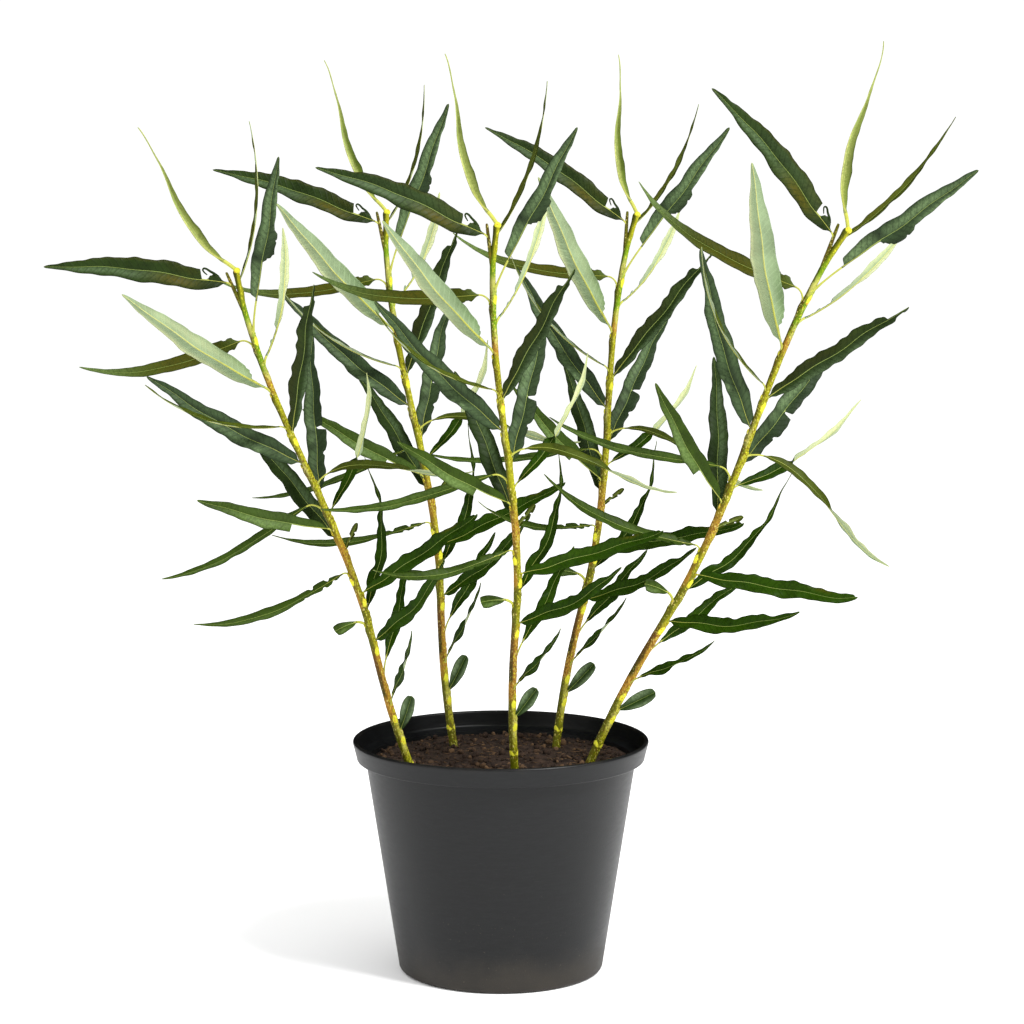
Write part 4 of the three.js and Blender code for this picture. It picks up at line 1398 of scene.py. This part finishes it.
def add_fork(form, shoot, cells):
    """Adds the cut stub beside the young shoot, and the knob that its leaf rises from."""
    heights = np.linspace(FORK["from"], FORK["stub_to"], STUB["rings"])
    centres = shoot.cane_point(heights, stub_shift(heights))
    radii = np.linspace(*STUB["radius"], len(heights)) + 0.06 * grain(centres, 3)
    radii[-2:] *= STUB["rounded"]
    axes = (shoot.side * shoot.scale, shoot.back * shoot.scale)
    add_spindle(form, centres, radii, axes, cells - 2, cells, **STUB_BARK)
    t = np.linspace(-0.98, 0.98, KNOB["rings"])
    right, depth = sway(KNOB["at"])
    right += fork_shift(KNOB["at"]) + KNOB["right"]
    centres = shoot.place(right, depth, KNOB["at"] + t * KNOB["height"])
    radii = KNOB["radius"] * np.sqrt(1 - t**2)
    add_spindle(form, centres, radii, axes, cells - 1, cells, **KNOB_BARK)


class OSIER_OT_add_canes(Operator):
    """Grow the cane of every shoot, with its bark and buds, in place of its bare foot"""

    bl_idname = "osier.add_canes"
    bl_label = "Add canes"

    def execute(self, context):
        settings = context.scene.osier_canes
        materials = {"bark": bark_finish(settings)}
        for number, (shoot, lines) in enumerate(grown_shoots(), start=1):
            form = Form(("bark",), "height", "scar", "right")
            on_cane = [line for line in lines if not HABITS.get(line.leaf.name, Habit()).on_stub]
            add_cane(form, shoot, on_cane, settings.sides)
            add_buds(form, shoot, on_cane)
            add_fork(form, shoot, len(on_cane) + 2)
            piece = form.make(f"cane_{number}", materials)
            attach(piece, "root")
            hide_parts(f"stem_{number}")
        return {"FINISHED"}


def lathe(profile, sides):
    """Rings of points round the upright axis, one for each (radius, height) of a profile."""
    radii, heights = np.array(profile, float).T[:, :, None, None]
    return radii * section(once_round(sides), RIGHT, BACK) + heights * UP


def lathe_place(rings):
    """The bake's map for a lathed form: one turn to its width, the section up its height."""
    count, sides = rings.shape[:2]

    def where(ring, column, rings_on, columns_on):
        return (column + columns_on) / sides, (ring + rings_on) / (count - 1)

    return where


def arc(centre, radius, start, end, steps=6):
    """Points of a profile along an arc, between two angles in degrees."""
    angles = np.radians(np.linspace(start, end, steps + 1))
    return [(centre[0] + radius * math.cos(a), centre[1] + radius * math.sin(a)) for a in angles]


def straight(start, end, steps):
    """Points of a profile on a straight stretch, without its two ends."""
    return [tuple(between(np.array(start), np.array(end), i / steps)) for i in range(1, steps)]


def pot_profile():
    """The pot's section, from the middle of its underside round its rim to the middle within."""
    foot_in = FOOT_RADIUS - FOOT_ROUND
    wall_top = (BODY_TOP_RADIUS, BAND_FOOT - 2.5)
    lip_height = POT_HEIGHT - LIP
    band_in = BAND_RADIUS - WALL
    bowl_in = BOWL_FOOT_RADIUS - WALL
    return [
        (AXIS_RADIUS, 0),
        *straight((AXIS_RADIUS, 0), (foot_in, 0), 12),
        *arc((foot_in, FOOT_ROUND), FOOT_ROUND, -90, 0),
        *straight((FOOT_RADIUS, FOOT_ROUND), wall_top, 40),
        *arc((BODY_TOP_RADIUS + 1.6, BAND_FOOT - 2.3), 1.6, 180, 90, 4),
        *arc((BAND_RADIUS - 1, BAND_FOOT + 0.3), 1, -90, 0, 4),
        *straight((BAND_RADIUS, BAND_FOOT + 0.6), (RIM_RADIUS, lip_height), 8),
        *arc((RIM_RADIUS - LIP, lip_height), LIP, 0, 180, 10),
        *straight((RIM_RADIUS - 2 * LIP, lip_height), (band_in, BAND_FOOT + WALL + 1), 6),
        *arc((band_in - 2, BAND_FOOT + WALL + 1.5), 2, 0, -70, 4),
        *straight((BOWL_TOP_RADIUS + 3, BAND_FOOT + 0.8), (BOWL_TOP_RADIUS, BAND_FOOT), 3),
        (BOWL_TOP_RADIUS, BAND_FOOT),
        *straight((BOWL_TOP_RADIUS, BAND_FOOT), (BOWL_FOOT_RADIUS, BOWL_FOOT), 30),
        *arc((bowl_in, BOWL_FOOT), WALL, 0, -90, 4),
        *straight((bowl_in, FLOOR), (AXIS_RADIUS, FLOOR), 12),
        (AXIS_RADIUS, FLOOR),
    ]


def drain_cutter():
    """Upright pins that cut the drainage holes through the pot's floor."""
    form = Form(("plastic",))
    for number in range(DRAINS["count"]):
        angle = 2 * math.pi * (number + 0.5) / DRAINS["count"]
        centre = DRAINS["ring"] * np.array([math.cos(angle), math.sin(angle), 0])
        pin = [(DRAINS["radius"], -FLOOR), (DRAINS["radius"], 2 * FLOOR)]
        form.loft(lathe(pin, DRAINS["sides"]) + centre)
    return form


def cut_away(piece, cutter):
    """Cuts one object's form out of another's and removes the cutter."""
    cut = piece.modifiers.new("cut", "BOOLEAN")
    cut.operation = "DIFFERENCE"
    cut.solver = "EXACT"
    cut.object = cutter
    whole = piece.data
    evaluated = piece.evaluated_get(bpy.context.evaluated_depsgraph_get())
    piece.data = bpy.data.meshes.new_from_object(evaluated)
    piece.modifiers.remove(cut)
    bpy.data.meshes.remove(whole)
    bpy.data.objects.remove(cutter)


def plastic_finish(settings):
    """Black moulded plastic: flow lines, scuffs, and dust that has settled near the foot."""
    recipe = Recipe("pot_plastic")
    plastic, dust = colours(settings, "plastic", "dust")
    flow = recipe.noise(9, 3, stretch=(1, 1, 6))
    body = recipe.mix(recipe.ease(flow, 0.3, 0.7), shade(plastic, 0.85), shade(plastic, 1.15))
    height = recipe.node("ShaderNodeSeparateXYZ", {"Vector": recipe.place()}, "Z")
    low = recipe.ease(height, 0.0, 0.045, 0.5, 0.0)
    rim = recipe.ease(height, (POT_HEIGHT - 6) * MM, POT_HEIGHT * MM, 0.0, 0.22)
    settled = recipe.plus(recipe.plus(low, rim), recipe.times(recipe.noise(22, 5), 0.5))
    film = recipe.ease(settled, 0.35, 0.9, 0.0, 0.28)
    body = recipe.mix(film, body, dust)
    specks = recipe.ease(recipe.noise(1.6, 2), 0.7, 0.76, 0.0, 0.55)
    body = recipe.over(body, specks, recipe.ease(height, 0.02, 0.09, 1.0, 0.1), shade(dust, 0.7))
    scuffs = recipe.ease(recipe.noise(5, 4, stretch=(1, 1, 9)), 0.62, 0.72, 0.0, 0.35)
    body = recipe.mix(scuffs, body, shade(plastic, 2.6))
    rough = recipe.plus(recipe.times(film, 0.5), recipe.ease(flow, 0.2, 0.8, 0.38, 0.44))
    relief = recipe.bump(recipe.noise(0.8, 2), 0.05, recipe.bump(flow, 0.05))
    return recipe.finish(body, rough, relief, Specular_IOR_Level=0.25)


class OSIER_OT_add_pot(Operator):
    """Turn the nursery pot with its rounded rim and cut its drainage holes"""

    bl_idname = "osier.add_pot"
    bl_label = "Add pot"

    def execute(self, context):
        settings = context.scene.osier_pot
        materials = {"plastic": plastic_finish(settings)}
        rings = lathe(pot_profile(), settings.sides)
        form = Form(("plastic",))
        form.loft(rings, lathe_place(rings))
        piece = form.make("nursery_pot", materials)
        cut_away(piece, drain_cutter().make("drain_cutter", materials))
        piece.data.set_sharp_from_angle(angle=math.radians(40))
        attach(piece, "root")
        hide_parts("pot")
        return {"FINISHED"}


def soil_relief(points, lump):
    """How far the compost's surface rises at rows of points: lumps, clods and grains."""
    rise = lump * (grain(points, 16) + 0.8 * grain(points, 6) + 0.5 * np.abs(grain(points, 2.6)))
    from_wall = SOIL_TOP_RADIUS - np.hypot(points[:, 0], points[:, 1])
    settled = SOIL_EDGE["depth"] * (1 - ease(0, SOIL_EDGE["reach"], from_wall))
    return rise * ease(0, SOIL_EDGE["smooth"], from_wall) - settled


def compost_finish(settings):
    """Moist peat compost with painted shade in its hollows, dry fibres and a few pale grains."""
    recipe = Recipe("compost")
    peat, fibre = colours(settings, "peat", "fibre")
    clods = recipe.noise(4, 5)
    # Painted shade: the compost is darker where its clods' relief is low.
    body = recipe.mix(recipe.ease(clods, 0.3, 0.7), shade(peat, 0.55), shade(peat, 1.5))
    tone = recipe.plus(recipe.value("tone"), recipe.times(recipe.noise(1.2, 3), 0.5))
    body = recipe.mix(recipe.ease(tone, 0.75, 1.3), body, fibre)
    relief = recipe.bump(recipe.noise(0.7, 4), 0.35, recipe.bump(clods, 0.8))
    return recipe.finish(body, 0.92, relief, Specular_IOR_Level=0.2)


def ball(subdivisions):
    """The points and faces of a faceted ball of radius 1."""
    shape = bmesh.new()
    bmesh.ops.create_icosphere(shape, subdivisions=subdivisions, radius=1)
    points = np.array([vert.co for vert in shape.verts])
    faces = [[vert.index for vert in face.verts] for face in shape.faces]
    shape.free()
    return points, faces


def on_soil(spot, turn):
    """A point of the soil's level at a distance from its middle and a turn round it."""
    return np.array([spot * math.cos(turn), spot * math.sin(turn), SOIL_LEVEL])


def add_crumbs(form, settings, feet):
    """Adds loose crumbs, each a lumpy ball of its own, sunk a little into the surface."""
    rng = np.random.default_rng(31)
    balls = {True: ball(2), False: ball(1)}
    for _ in range(settings.crumbs):
        size = CRUMB["least"] + CRUMB["range"] * rng.random() ** 3
        spot = (SOIL_TOP_RADIUS - CRUMB["from_wall"]) * math.sqrt(rng.random())
        centre = on_soil(spot, rng.uniform(0, 2 * math.pi))[None]
        stretch, lean = rng.uniform(*CRUMB["stretch"], 3), rng.normal(size=(3, 3))
        tone, bumps = rng.random(), rng.uniform(-50, 50, 3)
        if min(math.dist(centre[0, :2], foot) for foot in feet) < size + CANE_FOOT_RADIUS:
            continue
        points, faces = balls[size > CRUMB["large"]]
        axes = np.linalg.qr(lean)[0]
        lumps = 1 + CRUMB["lumps"] * grain(points + bumps, 0.9)
        points = (points * lumps[:, None] * stretch * size) @ axes + centre
        points[:, 2] += soil_relief(centre, settings.lump / MM) + CRUMB["up"] * size
        form.add(points, faces, unmapped(faces), tone=0.9 * tone)


def add_fibres(form, settings):
    """Adds short bent fibres that lie on the surface."""
    rng = np.random.default_rng(47)
    steps = FIBRE["rings"]
    t = np.linspace(-0.5, 0.5, steps)
    girth = FIBRE["half_width"] * (1 - (1.8 * t) ** 2) + FIBRE["least"]
    for _ in range(FIBRE["count"]):
        spot = (SOIL_TOP_RADIUS - FIBRE["from_wall"]) * math.sqrt(rng.random())
        turn, heading = rng.uniform(0, 2 * math.pi, 2)
        length, bend = rng.uniform(*FIBRE["length"]), rng.uniform(*FIBRE["bend"])
        way = heading + bend * t
        run = np.stack([np.cos(way), np.sin(way), np.zeros(steps)], axis=1)
        beside = np.stack([-np.sin(way), np.cos(way), np.zeros(steps)], axis=1)
        line = np.cumsum(run * (length / steps), axis=0) + on_soil(spot, turn)
        line[:, 2] += soil_relief(line, settings.lump / MM) + FIBRE["up"]
        hoop = section(once_round(FIBRE["sides"]), beside[:, None], UP)
        form.loft(line[:, None] + girth[:, None, None] * hoop, tone=1.0)


class OSIER_OT_add_soil(Operator):
    """Fill the pot with lumpy compost and strew crumbs and fibres on it"""

    bl_idname = "osier.add_soil"
    bl_label = "Add soil"

    def execute(self, context):
        settings = context.scene.osier_soil
        materials = {"compost": compost_finish(settings)}
        base = FLOOR + GAP
        foot_radius = BOWL_FOOT_RADIUS - WALL - SOIL_CLEAR
        wall_foot = (BOWL_FOOT_RADIUS - SOIL_CLEAR, BOWL_FOOT + GAP)
        wall_top = (SOIL_TOP_RADIUS, SOIL_LEVEL - 1.5)
        profile = [
            (AXIS_RADIUS, base),
            *straight((AXIS_RADIUS, base), (foot_radius, base), 12),
            (foot_radius, base),
            wall_foot,
            *straight(wall_foot, wall_top, 12),
            wall_top,
            *straight((SOIL_TOP_RADIUS - 0.5, SOIL_LEVEL), (AXIS_RADIUS, SOIL_LEVEL), SOIL_RINGS),
            (AXIS_RADIUS, SOIL_LEVEL),
        ]
        rings = lathe(profile, SOIL_SIDES)
        on_top = rings[..., 2] == SOIL_LEVEL
        rings[on_top, 2] += soil_relief(rings[on_top], settings.lump / MM)
        ground = Form(("compost",), "tone")
        ground.loft(rings, lathe_place(rings))
        soil = ground.make("compost_body", materials)
        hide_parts("soil")
        strewn = Form(("compost",), "tone")
        add_crumbs(strewn, settings, [stand.foot for stand in STANDS])
        add_fibres(strewn, settings)
        for piece in (soil, strewn.make("compost_crumbs", materials)):
            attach(piece, "root")
        return {"FINISHED"}


def set_out(scene, name, data, middle, way):
    """Links a lamp or the camera, away from a middle that it looks at, and gives its object."""
    thing = bpy.data.objects.new(name, data)
    thing.location = middle + way
    thing.rotation_euler = (-way).to_track_quat("-Z", "Y").to_euler()
    scene.collection.objects.link(thing)
    return thing


class OSIER_OT_add_stage(Operator):
    """Set out the pale floor, the soft lamps and the camera"""

    bl_idname = "osier.add_stage"
    bl_label = "Add stage"

    def execute(self, context):
        scene = context.scene
        settings = scene.osier_stage
        mesh = bpy.data.meshes.new("floor")
        signs = ((-1, -1), (1, -1), (1, 1), (-1, 1))
        corners = [(STAGE_REACH * x, STAGE_REACH * y, 0) for x, y in signs]
        mesh.from_pydata(corners, [], [(0, 1, 2, 3)])
        recipe = Recipe("pale_floor")
        mesh.materials.append(recipe.finish(tuple(settings.floor), 0.9, Specular_IOR_Level=0.0))
        floor = bpy.data.objects.new("floor", mesh)
        floor.location.z = -STAGE_DROP
        scene.collection.objects.link(floor)
        world = bpy.data.worlds.new("pale_surroundings")
        scene.world = world
        world.use_nodes = True
        background = world.node_tree.nodes["Background"]
        background.inputs["Color"].default_value = (1, 1, 1, 1)
        background.inputs["Strength"].default_value = SURROUNDING_LIGHT
        world.cycles_visibility.glossy = False
        low, high = CAD_BOX
        middle = (low + high) / 2
        for name, (place, share, size) in LAMPS.items():
            lamp = bpy.data.lights.new(name, "AREA")
            lamp.energy = settings.key_power * share
            lamp.size = size
            set_out(scene, name, lamp, middle, Vector(place))
        camera = bpy.data.cameras.new("camera")
        camera.lens = settings.lens
        camera.clip_end = 100
        distance = settings.view_width * settings.lens / camera.sensor_width
        back = Vector((0, -math.cos(settings.elevation), math.sin(settings.elevation)))
        scene.camera = set_out(scene, "camera", camera, middle, back * distance)
        scene.view_settings.view_transform = "Standard"
        return {"FINISHED"}


class OSIER_PT_panel(Panel):
    """Lists the osier's pieces and their sizes and colours"""

    bl_label = "Potted osier"
    bl_space_type = "VIEW_3D"
    bl_region_type = "UI"
    bl_category = "Osier"

    def draw(self, context):
        for operator, group in PIECES:
            box = self.layout.box()
            box.operator(operator.bl_idname)
            settings = getattr(context.scene, group)
            for name in settings.bl_rna.properties.keys():
                if name not in ("rna_type", "name"):
                    box.prop(settings, name)


PIECES = [
    (OSIER_OT_add_pot, "osier_pot"),
    (OSIER_OT_add_soil, "osier_soil"),
    (OSIER_OT_add_canes, "osier_canes"),
    (OSIER_OT_add_leaves, "osier_leaves"),
    (OSIER_OT_add_stage, "osier_stage"),
]
GROUPS = {
    "osier_pot": OsierPotSettings,
    "osier_soil": OsierSoilSettings,
    "osier_canes": OsierCaneSettings,
    "osier_leaves": OsierLeafSettings,
    "osier_stage": OsierStageSettings,
}


def register():
    for name, group in GROUPS.items():
        bpy.utils.register_class(group)
        setattr(bpy.types.Scene, name, PointerProperty(type=group))
    for operator, _ in PIECES:
        bpy.utils.register_class(operator)
    bpy.utils.register_class(OSIER_PT_panel)


def unregister():
    bpy.utils.unregister_class(OSIER_PT_panel)
    for operator, _ in reversed(PIECES):
        bpy.utils.unregister_class(operator)
    for name, group in reversed(GROUPS.items()):
        delattr(bpy.types.Scene, name)
        bpy.utils.unregister_class(group)


def main():
    register()
    bpy.ops.osier.add_pot()
    bpy.ops.osier.add_soil()
    bpy.ops.osier.add_canes()
    bpy.ops.osier.add_leaves()
    bpy.ops.osier.add_stage()


if __name__ == "__main__":
    main()
